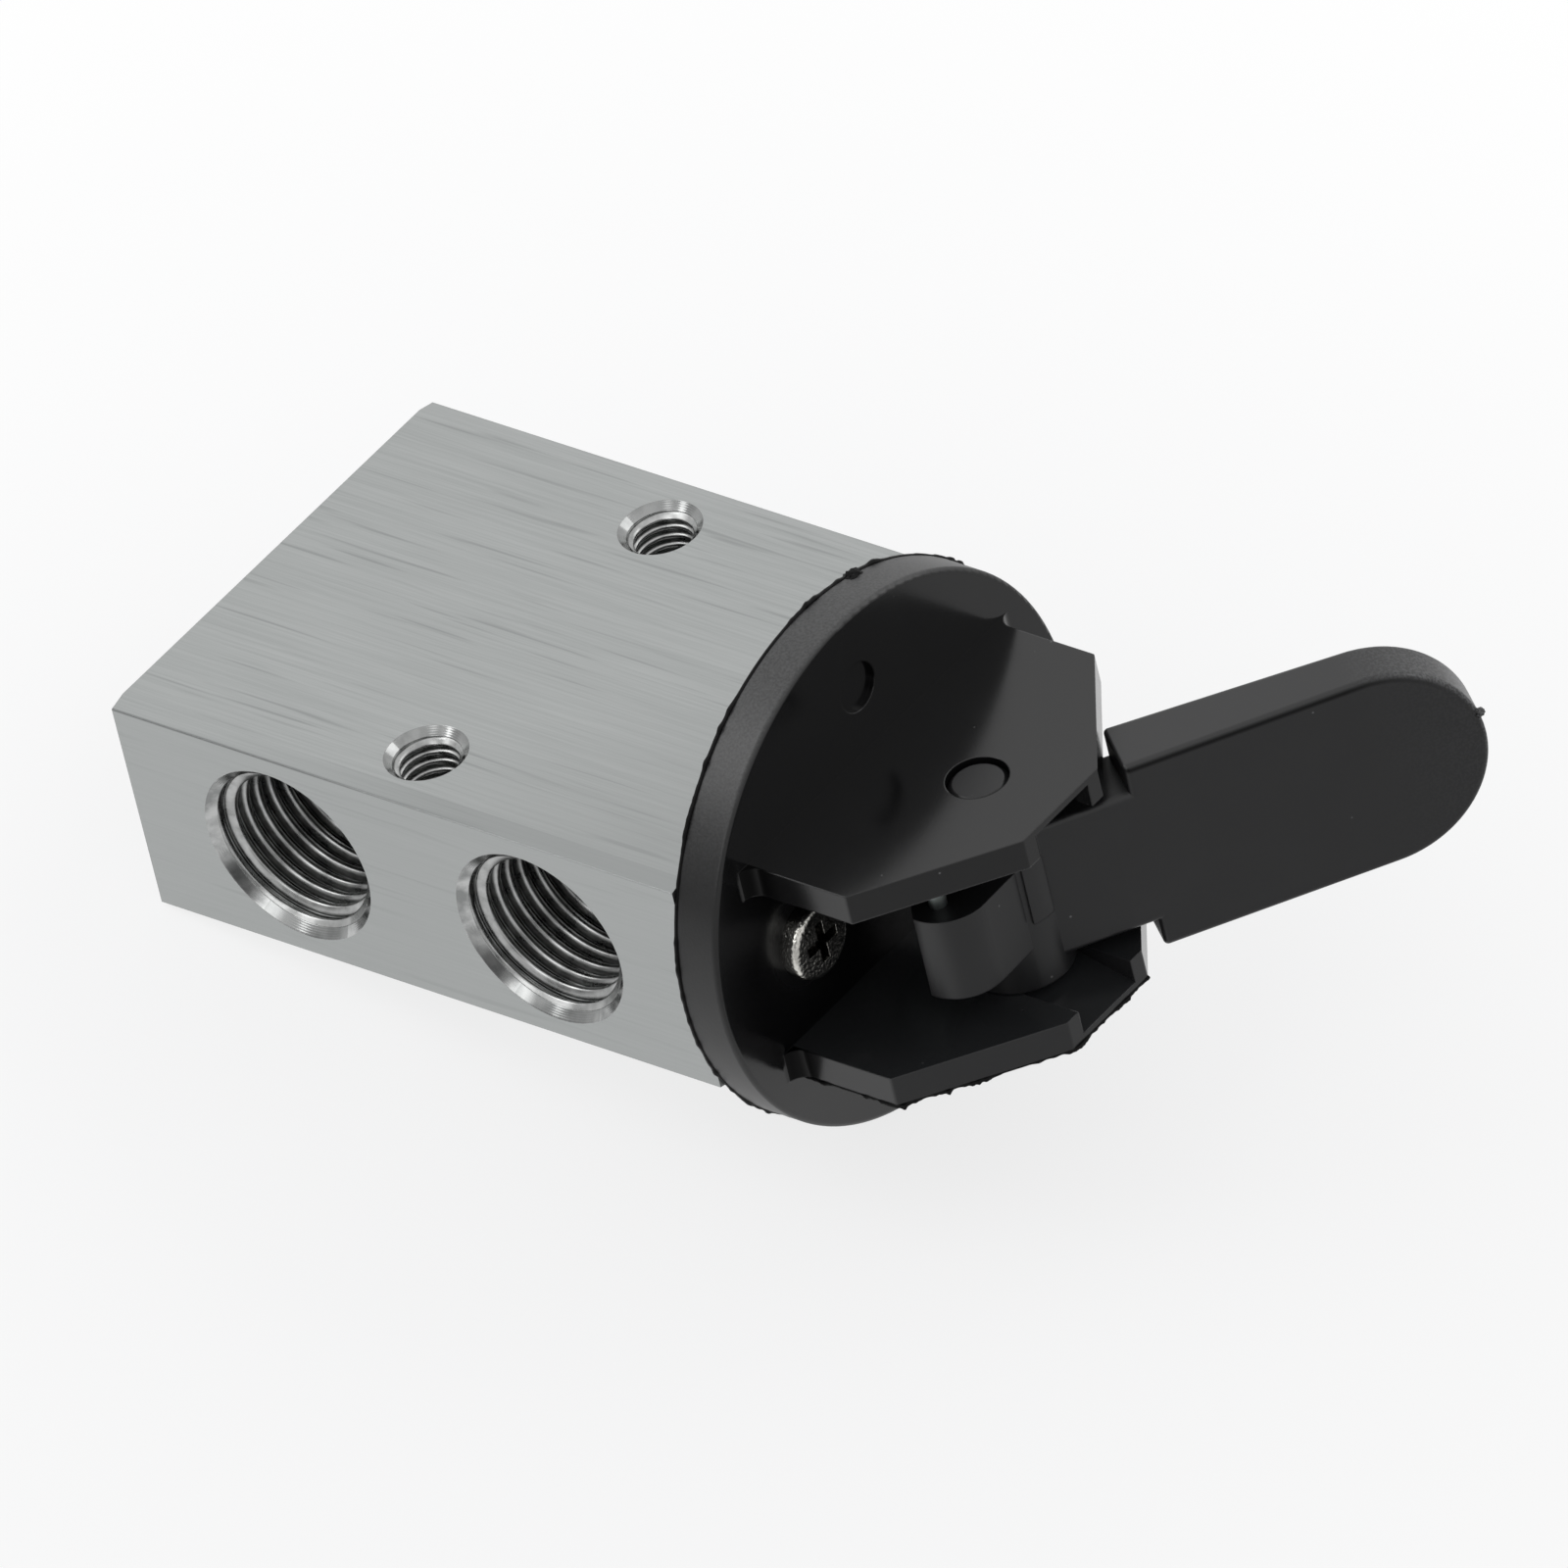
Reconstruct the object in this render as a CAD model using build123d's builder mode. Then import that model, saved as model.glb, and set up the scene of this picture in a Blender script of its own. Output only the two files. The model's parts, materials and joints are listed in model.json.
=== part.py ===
from build123d import *
from math import asin, cos, degrees, radians, sin
import os

os.makedirs("parts", exist_ok=True)

# Hand lever air valve, millimetres.
# Origin: middle of the two mounting holes on the bottom face of the block.
# +X runs along the block towards the lever, +Z is up, the ports open towards -Y.

# Valve block
block_height = 18.0
block_width = 37.0
front_reach = 25.6
rear_reach = 24.4
bevel_width = 1.4
bevel_drop = 0.35

# Threaded ports, G1/4
port_thread_diameter = 13.157
port_depth = 10.5
port_mouth_diameter = 14.4
rear_port_setback = 13.6
front_port_setback = 13.9
port_drill_diameter = 6.2

# Threaded mounting holes, M5
mounting_thread_diameter = 5.0
mounting_mouth_diameter = 6.1
mounting_spacing = 27.0
mouth_angle = 90.0

# Spool bore
bore_diameter = 10.0
gallery_margin = 0.1
gallery_recess = 1.4
cover_bore_diameter = 14.0
stroke = 4.6
end_gap = 0.1
sliding_clearance = 0.05
static_clearance = 0.03

# Seals
seal_section = 1.5
seal_groove_play = 0.3
land_lip = 0.2
plug_seal_section = 1.0
wiper_section = 0.9

# Spool and return spring
neck_diameter = 6.0
spring_wire = 0.6
spring_diameter = 4.0
spring_turns = 7.0
spring_well_depth = 6.0
spring_play = 0.15
tenon_diameter = 3.9
tenon_length = 3.1

# Rear end plug
circlip_setback = 1.0
circlip_thickness = 1.0
circlip_groove_depth = 0.5
circlip_width = 1.6
circlip_gap_angle = 50.0
filter_recess = 1.0
filter_width = 2.4
spring_seat_depth = 1.6
vent_count = 6
vent_diameter = 1.4

# Plunger and its guide
guide_length = 4.0
plunger_diameter = 6.8
plunger_dome_radius = 6.0
plunger_rest_gap = 0.9

# Lever bracket
disc_diameter = 40.0
disc_thickness = 3.6
disc_edge_round = 0.35
disc_opening_diameter = 8.4
cheek_thickness = 2.4
cheek_gap = 13.8
cheek_width = 28.8
cheek_straight = 8.7
cheek_tip_width = 8.6
cheek_corner_round = 0.3
cheek_root_round = 1.3
pivot_setback = 9.3
pivot_to_cheek_tip = 7.3
ramp_width = 6.0
ramp_tip_thickness = 0.5
dimple_diameter = 3.7
dimple_depth = 0.4
dimple_height = 14.3

# Bracket screws, M3 pan head
screw_diameter = 3.0
screw_length = 8.0
screw_hole_depth = 6.2
screw_spacing = 21.0
screw_clearance = 0.2
screw_head_diameter = 5.8
screw_head_height = 1.4
screw_head_round = 0.45
recess_length = 3.2
recess_width = 0.8
recess_depth = 1.0
recess_taper = 8.0

# Lever
lever_angle = 54.0
hub_diameter = 7.8
trunnion_diameter = 4.4
trunnion_inset = 0.25
trunnion_chamfer = 0.35
pivot_clearance = 0.07
side_play = 0.1
arm_thickness = 5.9
arm_height = 11.3
paddle_start = 9.6
paddle_length = 25.4
paddle_height = 15.9
paddle_tip_thickness = 3.8
paddle_edge_round = 0.5
shoulder_round = 0.3

# Cam lobe
cam_lead = 143.0
lobe_height = 6.8
nose_diameter = 6.7
nose_reach = 9.0
nose_corner_offset = 0.4
flank_crown = 0.7
flank_start_angle = 64.0
flank_start_step = 0.3

# Derived places
axis_height = block_height / 2
front_face = front_reach
rear_face = -rear_reach
bore_radius = bore_diameter / 2
cover_bore_radius = cover_bore_diameter / 2
gallery_half = port_drill_diameter / 2 + gallery_margin
gallery_radius = bore_radius + gallery_recess
rear_port_x = rear_face + rear_port_setback
front_port_x = front_face - front_port_setback
groove_half = (seal_section + seal_groove_play) / 2
guide_rear = front_face - guide_length
spool_front = guide_rear - end_gap
front_seal_x = spool_front - land_lip - groove_half
middle_seal_x = rear_port_x + gallery_half + land_lip + groove_half
rear_seal_x = rear_port_x - gallery_half + land_lip + groove_half
spool_rear = rear_seal_x - groove_half - land_lip
plug_front = spool_rear - stroke - end_gap
plug_rear = rear_face + circlip_setback + circlip_thickness
spring_front = spool_rear + spring_well_depth
spring_rear = plug_front - spring_seat_depth
disc_front = front_face + disc_thickness
pivot_x = disc_front + pivot_setback
cheek_tip_x = pivot_x + pivot_to_cheek_tip
cheek_outer = cheek_gap / 2 + cheek_thickness
plunger_tip = pivot_x - hub_diameter / 2 - plunger_rest_gap

# Planes and axes: along the bore, across it at the front face, and at the lever's pivot
bore_plane = Plane(origin=(0, 0, axis_height), x_dir=(1, 0, 0), z_dir=(0, -1, 0))
bore_axis = Axis((0, 0, axis_height), (1, 0, 0))
front_plane = Plane(origin=(front_face, 0, axis_height), x_dir=(0, 1, 0), z_dir=(1, 0, 0))
disc_plane = front_plane.offset(disc_thickness)
lever_x = cos(radians(lever_angle))
lever_y = sin(radians(lever_angle))
pivot = (pivot_x, 0, axis_height)
lever_axis = Axis(pivot, (lever_x, lever_y, 0))
plan_plane = Plane(origin=pivot, x_dir=(lever_x, lever_y, 0), z_dir=(0, 0, 1))
paddle_plane = Plane(origin=pivot, x_dir=(lever_x, lever_y, 0), z_dir=(lever_y, -lever_x, 0))
cam_x = cos(radians(lever_angle - cam_lead))
cam_y = sin(radians(lever_angle - cam_lead))
cam_plane = Plane(origin=pivot, x_dir=(cam_x, cam_y, 0), z_dir=(0, 0, 1))


def finish(builder, name):
    """Label a finished piece and write it to its own file."""
    builder.part.label = name
    export_step(builder.part, f"parts/{name}.step")


def seal_groove(centre, floor_radius, outer_radius, width):
    """Cut a ring groove round the bore axis into the piece being built."""
    with BuildSketch(bore_plane) as groove:
        with Locations((centre, (floor_radius + outer_radius) / 2)):
            Rectangle(width, outer_radius - floor_radius)
    revolve(groove.sketch, axis=bore_axis, mode=Mode.SUBTRACT)


def ring_seal(centre, centre_radius, section):
    """Round a seal ring about the bore axis in the piece being built."""
    with BuildSketch(bore_plane) as ring:
        with Locations((centre, centre_radius)):
            Circle(section / 2)
    revolve(ring.sketch, axis=bore_axis)


# Aluminium block with the ports, the mounting holes and the stepped spool bore
with BuildPart() as valve_body:
    with BuildSketch(Plane.YZ.offset(rear_face)):
        half = block_width / 2
        with BuildLine():
            Polyline(
                (-half, bevel_drop),
                (-half + bevel_width, 0),
                (half - bevel_width, 0),
                (half, bevel_drop),
                (half, block_height - bevel_drop),
                (half - bevel_width, block_height),
                (-half + bevel_width, block_height),
                (-half, block_height - bevel_drop),
                close=True,
            )
        make_face()
    extrude(amount=front_reach + rear_reach)
    for port_x in (rear_port_x, front_port_x):
        with Locations(Plane(origin=(port_x, -block_width / 2, axis_height), z_dir=(0, -1, 0))):
            CounterSinkHole(port_thread_diameter / 2, port_mouth_diameter / 2, port_depth, mouth_angle)
            Hole(port_drill_diameter / 2, block_width / 2)
    for side in (-1, 1):
        hole_y = side * mounting_spacing / 2
        for mouth in (
            Plane(origin=(0, hole_y, block_height), z_dir=(0, 0, 1)),
            Plane(origin=(0, hole_y, 0), z_dir=(0, 0, -1)),
        ):
            with Locations(mouth):
                CounterSinkHole(
                    mounting_thread_diameter / 2,
                    mounting_mouth_diameter / 2,
                    block_height / 2,
                    mouth_angle,
                )
        with Locations(front_plane.location * Location((side * screw_spacing / 2, 0, 0))):
            Hole(screw_diameter / 2, screw_hole_depth)
    with BuildSketch(bore_plane):
        with BuildLine():
            Polyline(
                (rear_face, 0),
                (rear_face, cover_bore_radius),
                (plug_front, cover_bore_radius),
                (plug_front, bore_radius),
                (rear_port_x - gallery_half, bore_radius),
                (rear_port_x - gallery_half, gallery_radius),
                (rear_port_x + gallery_half, gallery_radius),
                (rear_port_x + gallery_half, bore_radius),
                (front_port_x - gallery_half, bore_radius),
                (front_port_x - gallery_half, gallery_radius),
                (front_port_x + gallery_half, gallery_radius),
                (front_port_x + gallery_half, bore_radius),
                (guide_rear, bore_radius),
                (guide_rear, cover_bore_radius),
                (front_face, cover_bore_radius),
                (front_face, 0),
                close=True,
            )
        make_face()
    revolve(axis=bore_axis, mode=Mode.SUBTRACT)
    seal_groove(
        plug_rear - circlip_thickness / 2,
        cover_bore_radius,
        cover_bore_radius + circlip_groove_depth,
        circlip_thickness,
    )
finish(valve_body, "valve_body")

# Moulded bracket: disc, two cheeks with lead-in ramps, pivot holes and screw holes
with BuildPart() as lever_bracket:
    with BuildSketch(front_plane):
        Circle(disc_diameter / 2)
    extrude(amount=disc_thickness)
    fillet(lever_bracket.edges().filter_by(GeomType.CIRCLE), disc_edge_round)
    for level in (cheek_gap / 2, -cheek_outer):
        with BuildSketch(Plane.XY.offset(axis_height + level)):
            with BuildLine():
                Polyline(
                    (disc_front + cheek_root_round, -cheek_width / 2),
                    (disc_front + cheek_straight, -cheek_width / 2),
                    (cheek_tip_x, -cheek_tip_width / 2),
                    (cheek_tip_x, cheek_tip_width / 2),
                    (disc_front + cheek_straight, cheek_width / 2),
                    (disc_front + cheek_root_round, cheek_width / 2),
                )
                root_half = cheek_width / 2 + cheek_root_round
                CenterArc((disc_front + cheek_root_round, root_half), cheek_root_round, 180, 90)
                CenterArc((disc_front + cheek_root_round, -root_half), cheek_root_round, 90, 90)
                Polyline(
                    (disc_front, root_half),
                    (disc_front - disc_thickness / 2, root_half),
                    (disc_front - disc_thickness / 2, -root_half),
                    (disc_front, -root_half),
                )
            make_face()
        extrude(amount=cheek_thickness)
    shoulder_edges, tip_edges = lever_bracket.edges().filter_by(Axis.Z).group_by(Axis.X)[-2:]
    fillet(shoulder_edges + tip_edges, cheek_corner_round)
    with BuildSketch(Plane.XY.offset(axis_height)):
        with Locations((pivot_x, 0)):
            Circle(trunnion_diameter / 2 + pivot_clearance)
    extrude(amount=cheek_outer, both=True, mode=Mode.SUBTRACT)
    for flip in (1, -1):
        with BuildSketch(bore_plane):
            with BuildLine():
                Polyline(
                    (pivot_x, flip * cheek_gap / 2),
                    (cheek_tip_x, flip * (cheek_outer - ramp_tip_thickness)),
                    (cheek_tip_x, flip * cheek_gap / 2),
                    close=True,
                )
            make_face()
        extrude(amount=ramp_width / 2, both=True, mode=Mode.SUBTRACT)
    with BuildSketch(front_plane):
        Circle(disc_opening_diameter / 2)
        with Locations((screw_spacing / 2, 0), (-screw_spacing / 2, 0)):
            Circle(screw_diameter / 2 + screw_clearance)
    extrude(amount=disc_thickness, mode=Mode.SUBTRACT)
    with BuildSketch(disc_plane):
        with Locations((0, dimple_height)):
            Circle(dimple_diameter / 2)
    extrude(amount=-dimple_depth, mode=Mode.SUBTRACT)
finish(lever_bracket, "lever_bracket")

# Pan head screws with a cross recess, one each side of the plunger
for side, screw_name in ((-1, "bracket_screw_near"), (1, "bracket_screw_far")):
    screw_plane = Plane(
        origin=(disc_front, side * screw_spacing / 2, axis_height), x_dir=(1, 0, 0), z_dir=(0, -1, 0)
    )
    with BuildPart() as bracket_screw:
        with BuildSketch(screw_plane):
            with BuildLine():
                Polyline(
                    (screw_head_height, 0),
                    (-screw_length, 0),
                    (-screw_length, screw_diameter / 2 - static_clearance),
                    (0, screw_diameter / 2 - static_clearance),
                    (0, screw_head_diameter / 2),
                    (screw_head_height, screw_head_diameter / 2),
                    close=True,
                )
            make_face()
        revolve(axis=Axis(screw_plane.origin, (1, 0, 0)))
        fillet(bracket_screw.edges().sort_by(Axis.X)[-1], screw_head_round)
        with BuildSketch(disc_plane.offset(screw_head_height)):
            with Locations((side * screw_spacing / 2, 0)):
                Rectangle(recess_length, recess_width)
                Rectangle(recess_width, recess_length)
        extrude(amount=-recess_depth, taper=recess_taper, mode=Mode.SUBTRACT)
    finish(bracket_screw, screw_name)

# Lever: paddle, arm, hub, trunnions and cam lobe in one moulding
with BuildPart() as lever:
    paddle_round = paddle_height / 2
    paddle_end = paddle_start + paddle_length
    with BuildSketch(paddle_plane):
        with BuildLine():
            Polyline(
                (paddle_end - paddle_round, -paddle_round),
                (paddle_start, -paddle_round),
                (paddle_start, -arm_height / 2),
                (0, -arm_height / 2),
                (0, arm_height / 2),
                (paddle_start, arm_height / 2),
                (paddle_start, paddle_round),
                (paddle_end - paddle_round, paddle_round),
            )
            ThreePointArc(
                (paddle_end - paddle_round, paddle_round),
                (paddle_end, 0),
                (paddle_end - paddle_round, -paddle_round),
            )
        make_face()
        lower_shoulder = vertices().group_by(Axis.Y)[0].sort_by(Axis.X)[0]
        upper_shoulder = vertices().group_by(Axis.Y)[-1].sort_by(Axis.X)[0]
        fillet((lower_shoulder, upper_shoulder), shoulder_round)
    extrude(amount=arm_thickness / 2, both=True)
    with BuildSketch(plan_plane):
        with BuildLine():
            Polyline(
                (0, -arm_thickness / 2),
                (paddle_end, -paddle_tip_thickness / 2),
                (paddle_end, paddle_tip_thickness / 2),
                (0, arm_thickness / 2),
                close=True,
            )
        make_face()
    extrude(amount=paddle_height, both=True, mode=Mode.INTERSECT)
    broad_faces = lever.faces().sort_by(SortBy.AREA)[-2:]
    root_edge_count = len(broad_faces)
    fillet(broad_faces.edges().sort_by(lever_axis)[root_edge_count:], paddle_edge_round)
    with BuildSketch(plan_plane):
        Circle(hub_diameter / 2)
    extrude(amount=cheek_gap / 2 - side_play, both=True)
    with BuildSketch(plan_plane):
        Circle(trunnion_diameter / 2)
    extrude(amount=cheek_outer - trunnion_inset, both=True)
    chamfer(
        lever.edges().filter_by(GeomType.CIRCLE).sort_by(Axis.Z)[0],
        trunnion_chamfer,
    )
    chamfer(
        lever.edges().filter_by(GeomType.CIRCLE).sort_by(Axis.Z)[-1],
        trunnion_chamfer,
    )
    nose_radius = nose_diameter / 2
    nose_centre = nose_reach - nose_radius
    nose_corner_angle = degrees(asin(nose_corner_offset / nose_radius))
    corner_x = nose_centre + nose_radius * cos(radians(nose_corner_angle))
    flank_radius = hub_diameter / 2 + flank_start_step
    flank_x = flank_radius * cos(radians(flank_start_angle))
    flank_y = -flank_radius * sin(radians(flank_start_angle))
    with BuildSketch(cam_plane):
        with BuildLine():
            CenterArc((nose_centre, 0), nose_radius, -nose_corner_angle, 90 + nose_corner_angle)
            SagittaArc((corner_x, -nose_corner_offset), (flank_x, flank_y), flank_crown)
            Polyline((flank_x, flank_y), (0, 0), (0, nose_radius), (nose_centre, nose_radius))
        make_face()
    extrude(amount=lobe_height / 2, both=True)
finish(lever, "lever")

# Brass guide with a seal groove outside and a wiper groove inside
wiper_x = front_face - wiper_section
wiper_centre = plunger_diameter / 2 + sliding_clearance + wiper_section / 2
guide_seal_x = (guide_rear + front_face) / 2 - plug_seal_section / 2
cover_seal_centre = cover_bore_radius - static_clearance - plug_seal_section / 2
cover_groove_floor = cover_seal_centre - plug_seal_section / 2 - static_clearance
cover_groove_width = plug_seal_section + seal_groove_play
with BuildPart() as plunger_guide:
    with BuildSketch(bore_plane):
        with Locations((guide_rear, plunger_diameter / 2 + sliding_clearance)):
            Rectangle(
                guide_length,
                cover_bore_radius - static_clearance - plunger_diameter / 2 - sliding_clearance,
                align=(Align.MIN, Align.MIN),
            )
    revolve(axis=bore_axis)
    seal_groove(guide_seal_x, cover_groove_floor, cover_bore_radius, cover_groove_width)
    seal_groove(
        wiper_x,
        plunger_diameter / 2,
        wiper_centre + wiper_section / 2 + static_clearance,
        wiper_section + 2 * static_clearance,
    )
finish(plunger_guide, "plunger_guide")

with BuildPart() as plunger_guide_seal:
    ring_seal(guide_seal_x, cover_seal_centre, plug_seal_section)
finish(plunger_guide_seal, "plunger_guide_seal")

with BuildPart() as plunger_seal:
    ring_seal(wiper_x, wiper_centre, wiper_section)
finish(plunger_seal, "plunger_seal")

# Plunger with a domed tip and a tenon that sits in the spool
with BuildPart() as plunger:
    plunger_radius = plunger_diameter / 2
    dome_centre = plunger_tip - plunger_dome_radius
    dome_edge = dome_centre + (plunger_dome_radius**2 - plunger_radius**2) ** 0.5
    with BuildSketch(bore_plane):
        with BuildLine():
            Polyline(
                (plunger_tip, 0),
                (spool_front - tenon_length + end_gap, 0),
                (spool_front - tenon_length + end_gap, tenon_diameter / 2),
                (spool_front, tenon_diameter / 2),
                (spool_front, plunger_radius),
                (dome_edge, plunger_radius),
            )
            RadiusArc((dome_edge, plunger_radius), (plunger_tip, 0), plunger_dome_radius)
        make_face()
    revolve(axis=bore_axis)
finish(plunger, "plunger")

# Spool with three seal lands, a socket for the tenon and a well for the spring
spool_radius = bore_radius - sliding_clearance
groove_floor = bore_radius - static_clearance - seal_section - static_clearance
land_half = groove_half + land_lip
spring_well_radius = spring_diameter / 2 + spring_play
with BuildPart() as spool:
    with BuildSketch(bore_plane):
        with Locations(((spool_rear + spool_front) / 2, 0)):
            Rectangle(spool_front - spool_rear, neck_diameter / 2, align=(Align.CENTER, Align.MIN))
        for seal_x in (rear_seal_x, middle_seal_x, front_seal_x):
            with Locations((seal_x, 0)):
                Rectangle(2 * land_half, spool_radius, align=(Align.CENTER, Align.MIN))
    revolve(axis=bore_axis)
    for seal_x in (rear_seal_x, middle_seal_x, front_seal_x):
        seal_groove(seal_x, groove_floor, bore_radius, 2 * groove_half)
    with Locations(Location((spool_front, 0, axis_height), (0, 90, 0))):
        Hole(tenon_diameter / 2 + static_clearance, tenon_length)
    with Locations(Location((spool_rear, 0, axis_height), (0, -90, 0))):
        Hole(spring_well_radius, spring_well_depth)
finish(spool, "spool")

for seal_x, seal_name in (
    (rear_seal_x, "spool_seal_rear"),
    (middle_seal_x, "spool_seal_middle"),
    (front_seal_x, "spool_seal_front"),
):
    with BuildPart() as spool_seal:
        ring_seal(seal_x, bore_radius - static_clearance - seal_section / 2, seal_section)
    finish(spool_seal, seal_name)

# Return spring between the plug and the spool
spring_radius = (spring_diameter - spring_wire) / 2
spring_run = spring_front - spring_rear - spring_wire - 2 * static_clearance
with BuildPart() as return_spring:
    with BuildLine():
        coil = Helix(
            spring_run / spring_turns,
            spring_run,
            spring_radius,
            center=(spring_rear + spring_wire / 2 + static_clearance, 0, axis_height),
            direction=(1, 0, 0),
        )
    with BuildSketch(Plane(origin=coil @ 0, z_dir=coil % 0)):
        Circle(spring_wire / 2)
    sweep(path=coil)
finish(return_spring, "return_spring")

# Drilled rear plug with its seal, filter ring and circlip
plug_radius = cover_bore_radius - static_clearance
plug_seal_x = plug_front - (plug_front - plug_rear) / 2
vent_pitch = (plug_radius + spring_well_radius) / 2
filter_inner = vent_pitch - filter_width / 2
filter_outer = vent_pitch + filter_width / 2
with BuildPart() as end_plug:
    with BuildSketch(bore_plane):
        with Locations((plug_rear, 0)):
            Rectangle(plug_front - plug_rear, plug_radius, align=(Align.MIN, Align.MIN))
    revolve(axis=bore_axis)
    seal_groove(plug_seal_x, cover_groove_floor, cover_bore_radius, cover_groove_width)
    with Locations(Location((plug_front, 0, axis_height), (0, 90, 0))):
        Hole(spring_well_radius, spring_seat_depth)
    seal_groove(plug_rear + filter_recess / 2, filter_inner, filter_outer, filter_recess)
    with Locations(Location((plug_front, 0, axis_height), (0, 90, 0))):
        with PolarLocations(vent_pitch, vent_count):
            Hole(vent_diameter / 2, plug_front - plug_rear)
finish(end_plug, "end_plug")

with BuildPart() as end_plug_seal:
    ring_seal(plug_seal_x, cover_seal_centre, plug_seal_section)
finish(end_plug_seal, "end_plug_seal")

with BuildPart() as exhaust_filter:
    with BuildSketch(bore_plane):
        with Locations((plug_rear + filter_recess / 2, vent_pitch)):
            Rectangle(filter_recess, filter_width)
    revolve(axis=bore_axis)
finish(exhaust_filter, "exhaust_filter")

with BuildPart() as end_plug_circlip:
    clip_radius = cover_bore_radius + circlip_groove_depth
    with BuildSketch(Plane.YZ.offset(plug_rear - circlip_thickness)):
        with Locations((0, axis_height)):
            Circle(clip_radius)
            Circle(clip_radius - circlip_width, mode=Mode.SUBTRACT)
        with BuildLine():
            mouth = 2 * clip_radius
            spread = mouth * sin(radians(circlip_gap_angle / 2))
            Polyline(
                (0, axis_height),
                (spread, axis_height - mouth),
                (-spread, axis_height - mouth),
                close=True,
            )
        make_face(mode=Mode.SUBTRACT)
    extrude(amount=circlip_thickness)
finish(end_plug_circlip, "end_plug_circlip")
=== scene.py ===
import json
import math

import bmesh
import bpy
from mathutils import Matrix, Vector, noise


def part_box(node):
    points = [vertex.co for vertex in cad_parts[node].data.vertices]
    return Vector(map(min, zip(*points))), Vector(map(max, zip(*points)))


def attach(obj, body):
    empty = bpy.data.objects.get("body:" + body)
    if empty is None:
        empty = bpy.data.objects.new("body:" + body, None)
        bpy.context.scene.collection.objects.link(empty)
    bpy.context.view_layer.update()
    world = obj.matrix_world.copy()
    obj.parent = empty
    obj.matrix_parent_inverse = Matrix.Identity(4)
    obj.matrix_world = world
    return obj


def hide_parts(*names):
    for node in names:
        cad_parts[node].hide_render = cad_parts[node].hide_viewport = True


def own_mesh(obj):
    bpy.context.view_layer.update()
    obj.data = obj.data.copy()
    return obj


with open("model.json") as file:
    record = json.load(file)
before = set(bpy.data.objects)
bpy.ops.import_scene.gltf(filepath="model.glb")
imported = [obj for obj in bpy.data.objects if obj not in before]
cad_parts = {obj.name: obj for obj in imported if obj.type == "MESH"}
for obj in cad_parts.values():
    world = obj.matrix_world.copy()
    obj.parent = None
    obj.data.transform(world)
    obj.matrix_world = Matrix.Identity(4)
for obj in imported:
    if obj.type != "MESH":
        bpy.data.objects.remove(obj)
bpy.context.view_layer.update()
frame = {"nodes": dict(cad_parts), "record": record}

# Hand lever air valve: finishes, threads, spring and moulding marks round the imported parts.
# Lengths are metres. +X runs along the block towards the lever, +Z is up, ports open towards -Y.

MM = 0.001
record = frame["record"]
nodes = frame["nodes"]
mounts = {mount["name"]: mount for mount in record["mounts"]}
joints = {joint["name"]: joint for joint in record["behaviour"]["joints"]}

# Places read from the frame
block_low, block_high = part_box("valve_body")
bracket_low, bracket_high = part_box("lever_bracket")
spring_low, spring_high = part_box("return_spring")
axis_height = (block_low.z + block_high.z) / 2
axis_point = Vector((0, 0, axis_height))
disc_radius = (bracket_high.z - bracket_low.z) / 2
disc_back = bracket_low.x
pivot = Vector(joints["lever_pivot"]["pos_m"])
port_places = [Vector(mounts[name]["pos_m"]) for name in ("port_rear", "port_front")]
port_radius = mounts["port_rear"]["dims"]["r_mm"] * MM
hole_radius = mounts["mounting_holes"]["dims"]["hole_r_mm"] * MM
hole_y = mounts["mounting_holes"]["dims"]["spacing_y_mm"] * MM / 2

# Block: holes and the bevel on the port side
PORT_MOUTH_RADIUS = 7.2 * MM
PORT_DEPTH = 10.5 * MM
HOLE_MOUTH_RADIUS = 3.05 * MM
BEVEL_DROP = 0.35 * MM

# Thread forms: widths of a ridge's crest and root as shares of the pitch
CREST_SHARE = 0.27
ROOT_SHARE = 0.94

# Bracket moulding: half widths are from the middle, the others from the axis or the origin
DISC_FACE_X = disc_back + 3.6 * MM
CHEEK_HALF_WIDTH = 14.4 * MM
CHEEK_TIP_HALF_WIDTH = 4.3 * MM
CHEEK_ROOT_X = 30.6 * MM
CHEEK_SHOULDER_X = 37.9 * MM
CHEEK_INNER = 6.8 * MM
CHEEK_OUTER = 9.3 * MM
SCREW_SIDE = 10.5 * MM

# Paddle of the lever, in lengths along the lever from its pivot
LEVER_TURN = math.radians(54.0)
PADDLE_END = 35.0 * MM
PADDLE_ROUND = 7.95 * MM
ARM_HALF = 2.95 * MM
TIP_HALF = 1.9 * MM

# Where the hand has worn the paddle's edge, and where the painted shadow along its parting line
# fades out
WORN_START = 26.0 * MM
WORN_END = 35.0 * MM
PARTING_SHADOW_FADE = 26.0 * MM
PARTING_SHADOW_END = 33.0 * MM

# Strength of the mouldings' grain as a bump
PLASTIC_BUMP = 0.1

# Colours of the block
DRAWN_DARK = (0.332, 0.346, 0.342)
DRAWN_PALE = (0.454, 0.467, 0.463)
DRAWN_SCORE = (0.22, 0.23, 0.228)
# Painted shade of the bevel
DRAWN_BEVEL_SHADE = (0.27, 0.28, 0.278)
# Painted reflection of the dark disc on the top
DRAWN_DISC_REFLECTION = (0.3, 0.31, 0.308)
DRAWN_SHADOW = (0.1, 0.104, 0.103)
DRAWN_WORN = (0.2, 0.21, 0.208)
BORED_DARK = (0.24, 0.246, 0.244)
BORED_PALE = (0.5, 0.506, 0.502)
# Painted shade of cut faces that face up or down
BORED_LEVEL_SHADE = (0.22, 0.225, 0.223)
THREAD_DARK = (0.3, 0.305, 0.302)
THREAD_PALE = (0.5, 0.505, 0.5)
THREAD_CREST = (0.75, 0.75, 0.74)
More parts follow.
